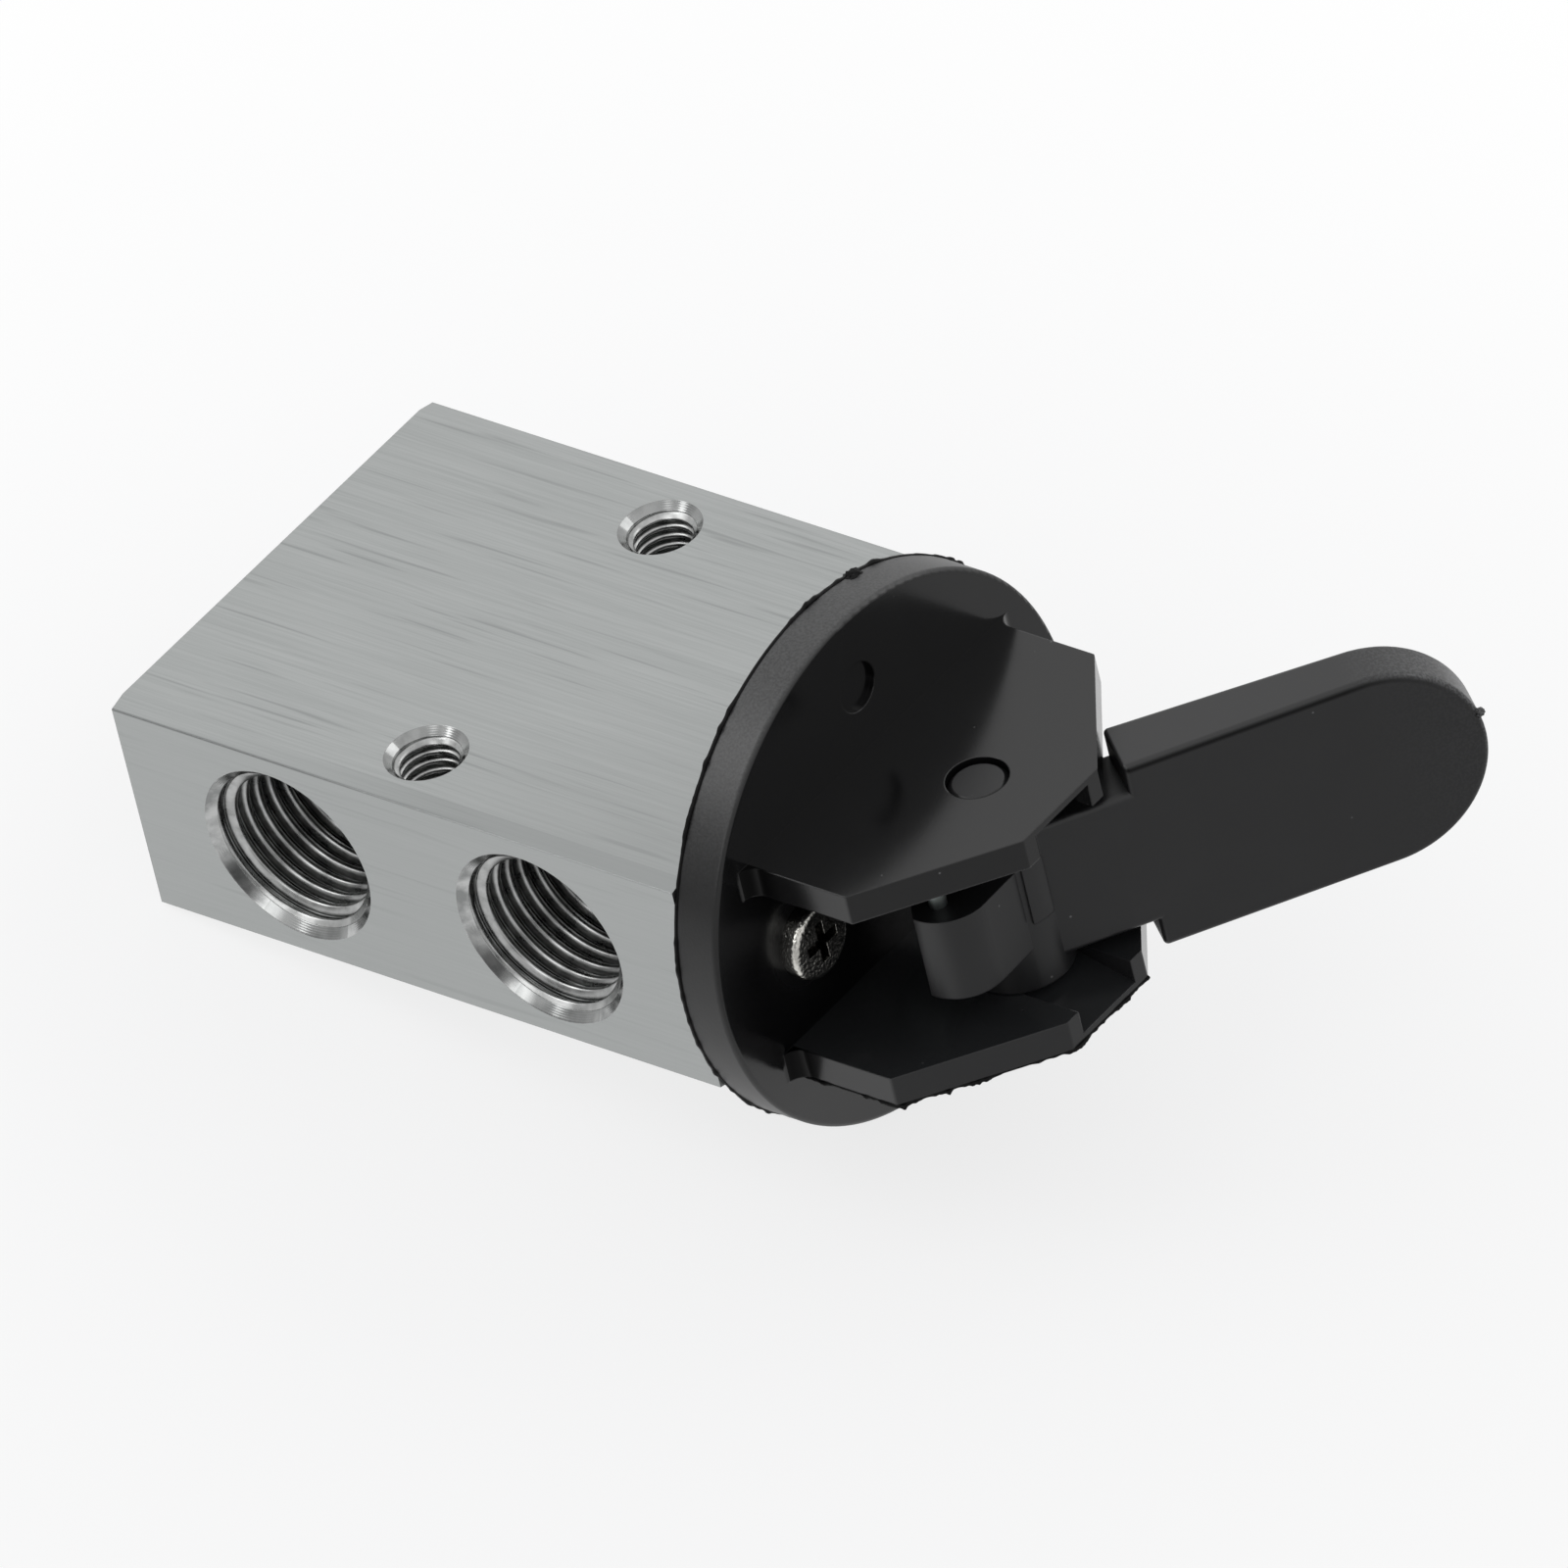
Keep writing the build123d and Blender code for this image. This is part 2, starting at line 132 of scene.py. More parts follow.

# Colours of the mouldings
# Painted shade: near black for the painted shadow line and the cheek roots
PAINTED_SHADE_BLACK = (0.0005, 0.0005, 0.0005)
WORN_BLACK = (0.022, 0.022, 0.023)
SPECK = (0.1, 0.1, 0.1)
PADDLE_EDGE = (0.022, 0.022, 0.0225)
PADDLE_SCUFF = (0.085, 0.085, 0.087)
# Rim grain, with painted light where the rim faces up
RIM_GRAIN_AND_TOP_LIGHT = (0.07, 0.07, 0.07)
# Painted light on the lower cheek's upper side and front band
LOWER_SHELF_LIGHT = (0.022, 0.023, 0.024)
LOWER_BAND_LIGHT = (0.0115, 0.0115, 0.012)

FLOAT = "NodeSocketFloat"
VECTOR = "NodeSocketVector"
GEOMETRY = "NodeSocketGeometry"


# Small steps that trees and pieces are made from


def add_node(tree, kind, inputs=None, **settings):
    """A node with its settings, and its inputs set or linked by name or number."""
    node = tree.nodes.new(kind)
    for name, value in settings.items():
        setattr(node, name, value)
    for key, value in (inputs or {}).items():
        if isinstance(value, bpy.types.NodeSocket):
            tree.links.new(value, node.inputs[key])
        else:
            node.inputs[key].default_value = value
    return node


def calculate(tree, operation, *values):
    """The result of a maths step, repeated in turn where there are more than two values."""
    while len(values) > 2:
        values = (calculate(tree, operation, *values[:2]), *values[2:])
    step = add_node(tree, "ShaderNodeMath", dict(enumerate(values)), operation=operation)
    return step.outputs[0]


def multiply(tree, *values):
    """The product of some values."""
    return calculate(tree, "MULTIPLY", *values)


def add(tree, *values):
    """The sum of some values."""
    return calculate(tree, "ADD", *values)


def subtract(tree, first, second):
    """The first value less the second."""
    return calculate(tree, "SUBTRACT", first, second)


def above(tree, value, limit):
    """1 where a value is over a limit, 0 elsewhere."""
    return calculate(tree, "GREATER_THAN", value, limit)


def below(tree, value, limit):
    """1 where a value is under a limit, 0 elsewhere."""
    return calculate(tree, "LESS_THAN", value, limit)


def vector_step(tree, operation, *values, output="Vector"):
    """The result of one vector step."""
    step = add_node(tree, "ShaderNodeVectorMath", dict(enumerate(values)), operation=operation)
    return step.outputs[output]


def between(tree, value, low, high, start=0.0, end=1.0):
    """Maps a value from start..end to low..high, and holds it there outside."""
    inputs = {"Value": value, "From Min": start, "From Max": end, "To Min": low, "To Max": high}
    return add_node(tree, "ShaderNodeMapRange", inputs).outputs["Result"]


def choose(tree, factor, low, high):
    """Mixes two values."""
    inputs = {"Factor": factor, "A": low, "B": high}
    return add_node(tree, "ShaderNodeMix", inputs, data_type="FLOAT").outputs[0]


def new_group(name, kind, inputs, outputs):
    """An empty node group with its sockets, and its input and output nodes.

    An input is given by its first value, or by its socket type where it has none.
    """
    tree = bpy.data.node_groups.new(name, kind)
    kinds = {float: FLOAT, int: "NodeSocketInt"}
    for label, value in inputs.items():
        socket_type = kinds.get(type(value), value)
        socket = tree.interface.new_socket(label, in_out="INPUT", socket_type=socket_type)
        if socket_type != value:
            socket.default_value = value
    for label, socket_type in outputs.items():
        tree.interface.new_socket(label, in_out="OUTPUT", socket_type=socket_type)
    return tree, tree.nodes.new("NodeGroupInput"), tree.nodes.new("NodeGroupOutput")


def own_place(tree):
    """A point of the surface, in the object's own coordinates."""
    return add_node(tree, "ShaderNodeTexCoord").outputs["Object"]


def split(tree, vector):
    """X, Y and Z of a vector."""
    return add_node(tree, "ShaderNodeSeparateXYZ", {"Vector": vector}).outputs


def surface_normal(tree):
    """The way that the surface faces."""
    return add_node(tree, "ShaderNodeNewGeometry").outputs["Normal"]


def noise_level(tree, place, scale, detail, **inputs):
    """Soft noise from 0 to 1."""
    inputs.update({"Vector": place, "Scale": scale, "Detail": detail})
    return add_node(tree, "ShaderNodeTexNoise", inputs).outputs["Fac"]


def distance_from(tree, first, second, centre):
    """Distance in a plane from a centre, of two coordinates."""
    offsets = [subtract(tree, first, centre[0]), subtract(tree, second, centre[1])]
    squares = [multiply(tree, offset, offset) for offset in offsets]
    return calculate(tree, "SQRT", add(tree, *squares))


# Shader groups that several finishes share


def make_edge_wear():
    """Worn outer edges as a mask, a normal that rounds them, and how far a point is in a corner."""
    tree, given, result = new_group(
        "edge_wear",
        "ShaderNodeTree",
        {"Width": 0.3 * MM, "Strength": 6.0, "Patch Scale": 900.0, "Corner Reach": 0.6 * MM},
        {"Mask": FLOAT, "Normal": VECTOR, "Corner": FLOAT},
    )
    bevel = add_node(tree, "ShaderNodeBevel", {"Radius": given.outputs["Width"]}, samples=6)
    rounded = bevel.outputs["Normal"]
    flat = surface_normal(tree)
    turned = subtract(tree, 1.0, vector_step(tree, "DOT_PRODUCT", rounded, flat, output="Value"))
    patches = noise_level(tree, own_place(tree), given.outputs["Patch Scale"], 3.0)
    reach = {"Distance": given.outputs["Corner Reach"]}
    sky = add_node(tree, "ShaderNodeAmbientOcclusion", reach, samples=4).outputs["AO"]
    open_sky = between(tree, sky, 0.0, 1.0, 0.7, 0.95)
    worn = multiply(tree, turned, patches, given.outputs["Strength"])
    mask = multiply(tree, calculate(tree, "MINIMUM", worn, 1.0), open_sky)
    inputs = {"Factor": open_sky, 4: flat, 5: rounded}
    shared = add_node(tree, "ShaderNodeMix", inputs, data_type="VECTOR").outputs[1]
    tree.links.new(mask, result.inputs["Mask"])
    tree.links.new(vector_step(tree, "NORMALIZE", shared), result.inputs["Normal"])
    tree.links.new(subtract(tree, 1.0, sky), result.inputs["Corner"])
    return tree


def make_drawn_streaks():
    """Fine streaks along X, as a drawn or brushed bar shows, and sparse darker scores."""
    tree, given, result = new_group(
        "drawn_streaks",
        "ShaderNodeTree",
        {"Across": 5200.0, "Along": 85.0},
        {"Fine": FLOAT, "Broad": FLOAT, "Scores": FLOAT},
    )
    across = given.outputs["Across"]
    sizes = {"X": given.outputs["Along"], "Y": across, "Z": across}
    stretch = add_node(tree, "ShaderNodeCombineXYZ", sizes).outputs["Vector"]
    stretched = vector_step(tree, "MULTIPLY", own_place(tree), stretch)
    layers = {
        "Fine": ((1.0, 1.0, 1.0), 3.0),
        "Broad": ((0.3, 0.09, 0.09), 3.0),
        "Scores": ((0.8, 0.42, 0.42), 1.0),
    }
    for label, (scale, detail) in layers.items():
        scaled = vector_step(tree, "MULTIPLY", stretched, scale)
        level = noise_level(tree, scaled, 1.0, detail, Roughness=0.6)
        if label == "Scores":
            level = between(tree, level, 0.0, 1.0, 0.62, 0.74)
        tree.links.new(level, result.inputs[label])
    return tree


def make_mould_grain():
    """Fine grain of a moulded surface, with faint flow marks."""
    tree, given, result = new_group(
        "mould_grain",
        "ShaderNodeTree",
        {"Grain Scale": 5200.0, "Flow Scale": 260.0},
        {"Grain": FLOAT, "Flow": FLOAT},
    )
    place = own_place(tree)
    for label, detail in (("Grain", 3.0), ("Flow", 4.0)):
        level = noise_level(tree, place, given.outputs[label + " Scale"], detail)
        tree.links.new(level, result.inputs[label])
    return tree


def make_dust():
    """Sparse specks, as dust and plastic crumbs leave on a dark surface."""
    tree, given, result = new_group(
        "dust", "ShaderNodeTree", {"Spacing Scale": 380.0, "Size": 0.045}, {"Mask": FLOAT}
    )
    inputs = {"Vector": own_place(tree), "Scale": given.outputs["Spacing Scale"]}
    cells = add_node(tree, "ShaderNodeTexVoronoi", inputs, feature="F1")
    edge = subtract(tree, given.outputs["Size"], cells.outputs["Distance"])
    tree.links.new(between(tree, edge, 0.0, 1.0, 0.0, 0.02), result.inputs["Mask"])
    return tree


def make_turning_marks():
    """Rings left by a cutter, as heights over a distance from its axis."""
    tree, given, result = new_group(
        "turning_marks",
        "ShaderNodeTree",
        {"Distance": 0.0, "Spacing": 0.12 * MM},
        {"Height": FLOAT},
    )
    turns = calculate(tree, "DIVIDE", given.outputs["Distance"], given.outputs["Spacing"])
    ripple = calculate(tree, "SINE", multiply(tree, turns, 2 * math.pi))
    tree.links.new(between(tree, ripple, 0.0, 1.0, -1.0, 1.0), result.inputs["Height"])
    return tree


edge_wear = make_edge_wear()
drawn_streaks = make_drawn_streaks()
mould_grain = make_mould_grain()
dust = make_dust()
turning_marks = make_turning_marks()


def new_material(name):
    """A material with its tree and shader."""
    material = bpy.data.materials.new(name)
    material.use_nodes = True
    tree = material.node_tree
    return material, tree, tree.nodes["Principled BSDF"]


def use_group(tree, group, **values):
    """The outputs of a shader group placed in a material, with its own values."""
    node = tree.nodes.new("ShaderNodeGroup")
    node.node_tree = group
    for name, value in values.items():
        socket = node.inputs[name.replace("_", " ")]
        if isinstance(value, bpy.types.NodeSocket):
            tree.links.new(value, socket)
        else:
            socket.default_value = value
    return node.outputs


def tint(tree, factor, low, high):
    """Mixes two colours."""
    node = add_node(tree, "ShaderNodeMix", {"Factor": factor}, data_type="RGBA")
    for socket, value in ((node.inputs[6], low), (node.inputs[7], high)):
        if isinstance(value, bpy.types.NodeSocket):
            tree.links.new(value, socket)
        else:
            socket.default_value = (*value, 1.0)
    return node.outputs[2]


def coat(tree, shader, colour, roughness, height, strength, normal, depth=0.02 * MM):
    """Gives a shader its colour, its roughness, and a bump over its rounded normal."""
    inputs = {"Height": height, "Strength": strength, "Distance": depth, "Normal": normal}
    relief = add_node(tree, "ShaderNodeBump", inputs).outputs["Normal"]
    for label, value in (("Base Color", colour), ("Roughness", roughness), ("Normal", relief)):
        tree.links.new(value, shader.inputs[label])


# Finishes of the metal parts


def cut_mask(tree):
    """1 inside the ports and the mounting holes, and the distance from the nearest axis."""
    x, y, z = split(tree, own_place(tree))
    mask = 0.0
    nearest = 1.0
    port_end = below(tree, y, block_low.y + PORT_DEPTH + MM)
    holes = [
        (distance_from(tree, x, z, (place.x, place.z)), PORT_MOUTH_RADIUS, port_end)
        for place in port_places
    ]
    holes += [
        (distance_from(tree, x, y, (0.0, side * hole_y)), HOLE_MOUTH_RADIUS, 1.0)
        for side in (-1, 1)
    ]
    for reach, mouth, here in holes:
        inside = multiply(tree, below(tree, reach, mouth + 0.01 * MM), here)
        mask = calculate(tree, "MAXIMUM", mask, inside)
        nearest = calculate(tree, "MINIMUM", nearest, reach)
    return mask, nearest


def make_block_aluminium():
    """Drawn aluminium bar, brushed along its length, with bright cut holes."""
    material, tree, shader = new_material("block_aluminium")
    shader.inputs["Metallic"].default_value = 1.0
    streaks = use_group(tree, drawn_streaks)
    wear = use_group(tree, edge_wear, Width=0.1 * MM, Strength=3.0)
    x, y, z = split(tree, own_place(tree))
    facing = split(tree, surface_normal(tree))
    level = calculate(tree, "ABSOLUTE", facing["Z"])
    brushed = between(tree, level, 0.35, 1.0)

    # Streaks and scores
    fine = multiply(tree, subtract(tree, streaks["Fine"], 0.5), brushed, 1.2)
    broad = multiply(tree, subtract(tree, streaks["Broad"], 0.5), 0.25)
    tone = between(tree, add(tree, fine, broad), 0.0, 1.0, -0.5, 0.5)
    colour = tint(tree, tone, DRAWN_DARK, DRAWN_PALE)
    colour = tint(tree, multiply(tree, streaks["Scores"], brushed, 0.45), colour, DRAWN_SCORE)

    # Painted shade on the bevel, darker towards the lever, and the shadow line under its other half
    bevel = multiply(
        tree,
        below(tree, facing["Y"], -0.1),
        above(tree, level, 0.5),
        between(tree, x, 0.18, 0.6, -16 * MM, 4 * MM),
    )
    colour = tint(tree, bevel, colour, DRAWN_BEVEL_SHADE)
    # Painted reflection of the dark disc: the top is painted darker towards the disc and the port
    # side
    disc_reflection = between(tree, subtract(tree, x, y), 0.0, 0.45, 12 * MM, 36 * MM)
    disc_reflection = multiply(tree, disc_reflection, above(tree, level, 0.9))
    colour = tint(tree, disc_reflection, colour, DRAWN_DISC_REFLECTION)
    from_edge = distance_from(tree, y, z, (block_low.y, block_high.z - BEVEL_DROP))
    shadow_line = multiply(
        tree,
        between(tree, from_edge, 0.75, 0.0, 0.04 * MM, 0.16 * MM),
        between(tree, x, 1.0, 0.15, -8 * MM, 8 * MM),
    )
    colour = tint(tree, shadow_line, colour, DRAWN_SHADOW)
    colour = tint(tree, multiply(tree, wear["Mask"], 0.5), colour, DRAWN_WORN)

    # Cut holes
    mask, reach = cut_mask(tree)
    rings = use_group(tree, turning_marks, Distance=reach)["Height"]
    patches = use_group(tree, mould_grain, Grain_Scale=1500.0, Flow_Scale=620.0)["Flow"]
    bored = tint(tree, between(tree, patches, 0.0, 1.0, 0.36, 0.64), BORED_DARK, BORED_PALE)
    # Painted shade: cut faces that face up or down are painted darker
    bored = tint(tree, multiply(tree, above(tree, level, 0.6), 0.6), bored, BORED_LEVEL_SHADE)
    colour = tint(tree, mask, colour, bored)
    roughness = choose(tree, mask, between(tree, streaks["Broad"], 0.26, 0.4), 0.15)
    drawn_height = multiply(tree, streaks["Fine"], brushed)
    height = choose(tree, mask, drawn_height, multiply(tree, rings, 0.25))
    coat(tree, shader, colour, roughness, height, 0.3, wear["Normal"])
    return material


def make_cut_aluminium():
    """Freshly cut thread flanks, bright on the crests and darker in the roots."""
    material, tree, shader = new_material("cut_aluminium")
    shader.inputs["Metallic"].default_value = 1.0
    wear = use_group(tree, edge_wear, Width=0.12 * MM, Strength=3.0)
    grain = use_group(tree, mould_grain, Grain_Scale=2600.0, Flow_Scale=900.0)
    tone = between(tree, grain["Flow"], 0.0, 1.0, 0.34, 0.66)
    colour = tint(tree, wear["Mask"], tint(tree, tone, THREAD_DARK, THREAD_PALE), THREAD_CREST)
    roughness = between(tree, grain["Flow"], 0.2, 0.38)
    coat(tree, shader, colour, roughness, grain["Grain"], 0.08, wear["Normal"])
    return material


def make_metal(name, low, high, roughness, scale=1800.0, bump=0.1, depth=0.02 * MM):
    """A turned, drawn or plated metal with small changes of tone, and darker in its corners."""
    material, tree, shader = new_material(name)
    shader.inputs["Metallic"].default_value = 1.0
    grain = use_group(tree, mould_grain, Grain_Scale=scale, Flow_Scale=scale / 8)
    wear = use_group(tree, edge_wear, Width=0.1 * MM, Strength=3.0, Corner_Reach=1.2 * MM)
    colour = tint(tree, grain["Flow"], low, high)
    colour = tint(tree, wear["Mask"], colour, tuple(min(1.0, 1.3 * part) for part in high))
    # Darker where a point lies deep in a corner
    corner_darkening = between(tree, wear["Corner"], 0.0, 0.85, 0.08, 0.35)
    colour = tint(tree, corner_darkening, colour, tuple(0.12 * part for part in low))
    rough = between(tree, grain["Grain"], roughness - 0.06, roughness + 0.06)
    coat(tree, shader, colour, rough, grain["Grain"], bump, wear["Normal"], depth)
    return material


# Finishes of the mouldings and seals


def wear_paddle(tree, shader, grain, colour):
    """The lever's colour with a paler paddle edge, worn towards its end, and a painted shadow along
    its parting line.
    """
    x, y, z = split(tree, own_place(tree))
    forward = subtract(tree, x, pivot.x)
    cosine, sine = math.cos(LEVER_TURN), math.sin(LEVER_TURN)
    along = add(tree, multiply(tree, forward, cosine), multiply(tree, y, sine))
    out = subtract(tree, multiply(tree, forward, sine), multiply(tree, y, cosine))
    past = calculate(tree, "MAXIMUM", subtract(tree, along, PADDLE_END - PADDLE_ROUND), 0.0)
    inside = subtract(tree, PADDLE_ROUND, distance_from(tree, past, z, (0.0, axis_height)))
    under_face = subtract(tree, between(tree, along, ARM_HALF, TIP_HALF, 0.0, PADDLE_END), out)

    on_edge = between(tree, inside, 1.0, 0.1, 0.1 * MM, 0.3 * MM)
    on_edge = multiply(tree, on_edge, above(tree, along, PADDLE_ROUND))
    colour = tint(tree, multiply(tree, on_edge, 0.5), colour, PADDLE_EDGE)
    handled = between(tree, along, 0.0, 1.0, WORN_START, WORN_END)
    scuffs = between(tree, grain["Grain"], 0.0, 1.0, 0.46, 0.56)
    colour = tint(tree, multiply(tree, handled, on_edge, scuffs), colour, PADDLE_SCUFF)

    # Painted shadow: a near black line along the parting line of the paddle's upper edge, which
    # doesn't mirror the room
    from_line = distance_from(tree, inside, under_face, (0.33 * MM, 0.03 * MM))
    parting_shadow = multiply(
        tree,
        between(tree, from_line, 0.7, 0.0, 0.05 * MM, 0.28 * MM),
        above(tree, z, axis_height),
        between(tree, along, 1.0, 0.1, PARTING_SHADOW_FADE, PARTING_SHADOW_END),
    )
    tree.links.new(parting_shadow, shader.inputs["Metallic"])
    return tint(tree, parting_shadow, colour, PAINTED_SHADE_BLACK)


def age_bracket(tree, shader, grain, colour, smooth):
    """The bracket's colour, roughness and bump strength, with a coarse rim on its disc, painted
    light on the rim's top and on the lower cheek, and painted shade at the cheek roots.
    """
    x, y, z = split(tree, own_place(tree))
    facing = split(tree, surface_normal(tree))
    from_axis = distance_from(tree, y, z, (0.0, axis_height))
    rim = between(tree, from_axis, 0.0, 1.0, disc_radius - 0.35 * MM, disc_radius - 0.1 * MM)
    # Painted light: the rim's coarse grain is painted paler where the rim faces up
    rim_top_light = between(tree, facing["Z"], 0.04, 1.0, 0.4, 1.0)
    coarse = between(tree, grain["Grain"], 0.4, 1.0, 0.3, 0.7)
    colour = tint(tree, multiply(tree, rim, coarse, rim_top_light), colour, RIM_GRAIN_AND_TOP_LIGHT)

    # Painted light: the lower cheek's upper side and its front band are painted paler
    shelf_light = multiply(tree, below(tree, z, axis_height), above(tree, facing["Z"], 0.5), 0.8)
    colour = tint(tree, shelf_light, colour, LOWER_SHELF_LIGHT)
    band_light = multiply(
        tree,
        below(tree, calculate(tree, "ABSOLUTE", facing["Z"]), 0.5),
        below(tree, z, axis_height - CHEEK_INNER),
        above(tree, x, CHEEK_ROOT_X),
    )
    colour = tint(tree, band_light, colour, LOWER_BAND_LIGHT)

    # Painted shade: the roots of the cheeks on the port side are painted near black and don't
    # mirror the room
    root = multiply(
        tree,
        between(tree, x, 0.85, 0.0, CHEEK_ROOT_X - 0.8 * MM, CHEEK_ROOT_X + 1.2 * MM),
        above(tree, x, DISC_FACE_X + 0.04 * MM),
        below(tree, y, 0.1 * MM - CHEEK_HALF_WIDTH),
    )
    colour = tint(tree, root, colour, PAINTED_SHADE_BLACK)
    tree.links.new(root, shader.inputs["Metallic"])

    # Scuffs round the screws
    sideways = calculate(tree, "ABSOLUTE", y)
    from_screw = distance_from(tree, sideways, z, (SCREW_SIDE, axis_height))
    scuffed = between(tree, from_screw, 0.32, 0.1, 2.9 * MM, 6.6 * MM)
    rough = calculate(tree, "MAXIMUM", choose(tree, rim, smooth, 0.42), scuffed)
    return colour, rough, between(tree, rim, PLASTIC_BUMP, 0.5)


def make_black_plastic(name, low, high, roughness, part=None, dullness=0.0):
    """Black moulded plastic or rubber with fine grain, dust specks and paler worn edges."""
    material, tree, shader = new_material(name)
    shader.inputs["Metallic"].default_value = dullness
    grain = use_group(tree, mould_grain)
    wear = use_group(tree, edge_wear, Width=0.15 * MM, Strength=2.0)
    colour = tint(tree, grain["Flow"], low, high)
    colour = tint(tree, wear["Mask"], colour, WORN_BLACK)
    colour = tint(tree, use_group(tree, dust)["Mask"], colour, SPECK)
    smooth = between(tree, grain["Flow"], roughness - 0.04, roughness + 0.04)
    strength = PLASTIC_BUMP
    if part == "lever":
        colour = wear_paddle(tree, shader, grain, colour)
    if part == "bracket":
        colour, smooth, strength = age_bracket(tree, shader, grain, colour, smooth)
    coat(tree, shader, colour, smooth, grain["Grain"], strength, wear["Normal"])
    return material


block_aluminium = make_block_aluminium()
cut_aluminium = make_cut_aluminium()
bracket_plastic = make_black_plastic(
    "bracket_plastic", (0.002, 0.002, 0.0022), (0.0045, 0.0045, 0.0048), 0.17, part="bracket"
)
lever_plastic = make_black_plastic(
    "lever_plastic", (0.007, 0.007, 0.0075), (0.011, 0.011, 0.0116), 0.36, part="lever"
)
torn_plastic = make_black_plastic(
    "torn_plastic", (0.002, 0.002, 0.002), (0.004, 0.004, 0.004), 0.5, dullness=0.75
)
rubber = make_black_plastic("seal_rubber", (0.012, 0.012, 0.012), (0.02, 0.02, 0.02), 0.5)
nickel = make_metal(
    "nickel_plate", (0.55, 0.54, 0.5), (0.72, 0.71, 0.67), 0.16, 3600.0, bump=1.0, depth=0.07 * MM
)
steel = make_metal("ground_steel", (0.34, 0.38, 0.37), (0.44, 0.48, 0.47), 0.42)
brass = make_metal("turned_brass", (0.62, 0.47, 0.21), (0.72, 0.56, 0.28), 0.28)
spool_metal = make_metal("spool_aluminium", (0.55, 0.56, 0.56), (0.65, 0.66, 0.66), 0.25)
spring_steel = make_metal("spring_steel", (0.36, 0.36, 0.37), (0.48, 0.48, 0.49), 0.28)
bronze = make_metal("sintered_bronze", (0.36, 0.24, 0.12), (0.52, 0.37, 0.2), 0.45, 2400.0, 0.6)

finish_of_slot = {
    "block": block_aluminium,
    "bracket_plastic": bracket_plastic,
    "lever_plastic": lever_plastic,
    "screw": nickel,
    "plunger_steel": steel,
    "brass": brass,
    "spool_metal": spool_metal,
    "spring_steel": spring_steel,
    "seal_rubber": rubber,
    "bronze_filter": bronze,
}
for part in record["subparts"]:
    mesh = nodes[part["node"]].data
    mesh.materials.clear()
    mesh.materials.append(finish_of_slot[part["material_slot"]])


# Shapes made by node trees


def new_shape_tree(name, inputs):
    """An empty geometry tree with named inputs."""
    inputs = {"Geometry": GEOMETRY, **inputs, "Finish": "NodeSocketMaterial"}
    return new_group(name, "GeometryNodeTree", inputs, {"Geometry": GEOMETRY})


def end_tree(tree, given, result, geometry):
    """The closing steps that every shape tree has."""
    real = add_node(tree, "GeometryNodeRealizeInstances", {"Geometry": geometry})
    inputs = {"Geometry": real.outputs["Geometry"], "Material": given.outputs["Finish"]}
    coated = add_node(tree, "GeometryNodeSetMaterial", inputs)
    tree.links.new(coated.outputs["Geometry"], result.inputs["Geometry"])


def tree_point(tree):
    """X, Y and Z of a point of the shape."""
    return split(tree, add_node(tree, "GeometryNodeInputPosition").outputs["Position"])


def spiral(tree, given, radius, height):
    """A curve wound along +Z at an even radius."""
    inputs = {
        "Resolution": given.outputs["Steps Per Turn"],
        "Rotations": given.outputs["Turns"],
        "Start Radius": radius,
        "End Radius": radius,
        "Height": height,
    }
    return add_node(tree, "GeometryNodeCurveSpiral", inputs).outputs["Curve"]


def move_points(tree, geometry, x, y, z):
    """A shape with its points put at new places."""
    place = add_node(tree, "ShaderNodeCombineXYZ", {"X": x, "Y": y, "Z": z}).outputs["Vector"]
    inputs = {"Geometry": geometry, "Position": place}
    return add_node(tree, "GeometryNodeSetPosition", inputs).outputs["Geometry"]


def sweep(tree, curve, section):
    """A closed solid with an upright section along a curve."""
    level = add_node(tree, "GeometryNodeSetCurveNormal", {"Curve": curve}, mode="Z_UP")
    inputs = {"Curve": level.outputs["Curve"], "Profile Curve": section, "Fill Caps": True}
    return add_node(tree, "GeometryNodeCurveToMesh", inputs).outputs["Mesh"]


def new_object(name, data):
    """An object in the scene."""
    item = bpy.data.objects.new(name, data)
    bpy.context.scene.collection.objects.link(item)
    return item


def add_piece(name, mesh, body):
    """A finished piece at the origin that rides on a body."""
    mesh.name = name
    piece = new_object(name, mesh)
    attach(piece, body)
    return piece


def run_tree(name, tree, values, start=None):
    """The plain mesh that a tree makes."""
    carrier = new_object(name + "_carrier", start or bpy.data.meshes.new(name + "_start"))
    modifier = carrier.modifiers.new("shape", "NODES")
    modifier.node_group = tree
    identifiers = {
        item.name: item.identifier
        for item in tree.interface.items_tree
        if item.item_type == "SOCKET" and item.in_out == "INPUT"
    }
    for label, value in values.items():
        modifier[identifiers[label]] = value
    bpy.context.view_layer.update()
    evaluated = carrier.evaluated_get(bpy.context.evaluated_depsgraph_get())
    mesh = bpy.data.meshes.new_from_object(evaluated)
    carrier.modifiers.clear()
    bpy.data.objects.remove(carrier)
    return mesh


def turn_towards(direction):
    """The turn that takes +Z to a direction."""
    return Vector(direction).to_track_quat("Z", "Y").to_matrix().to_4x4()


# Threads


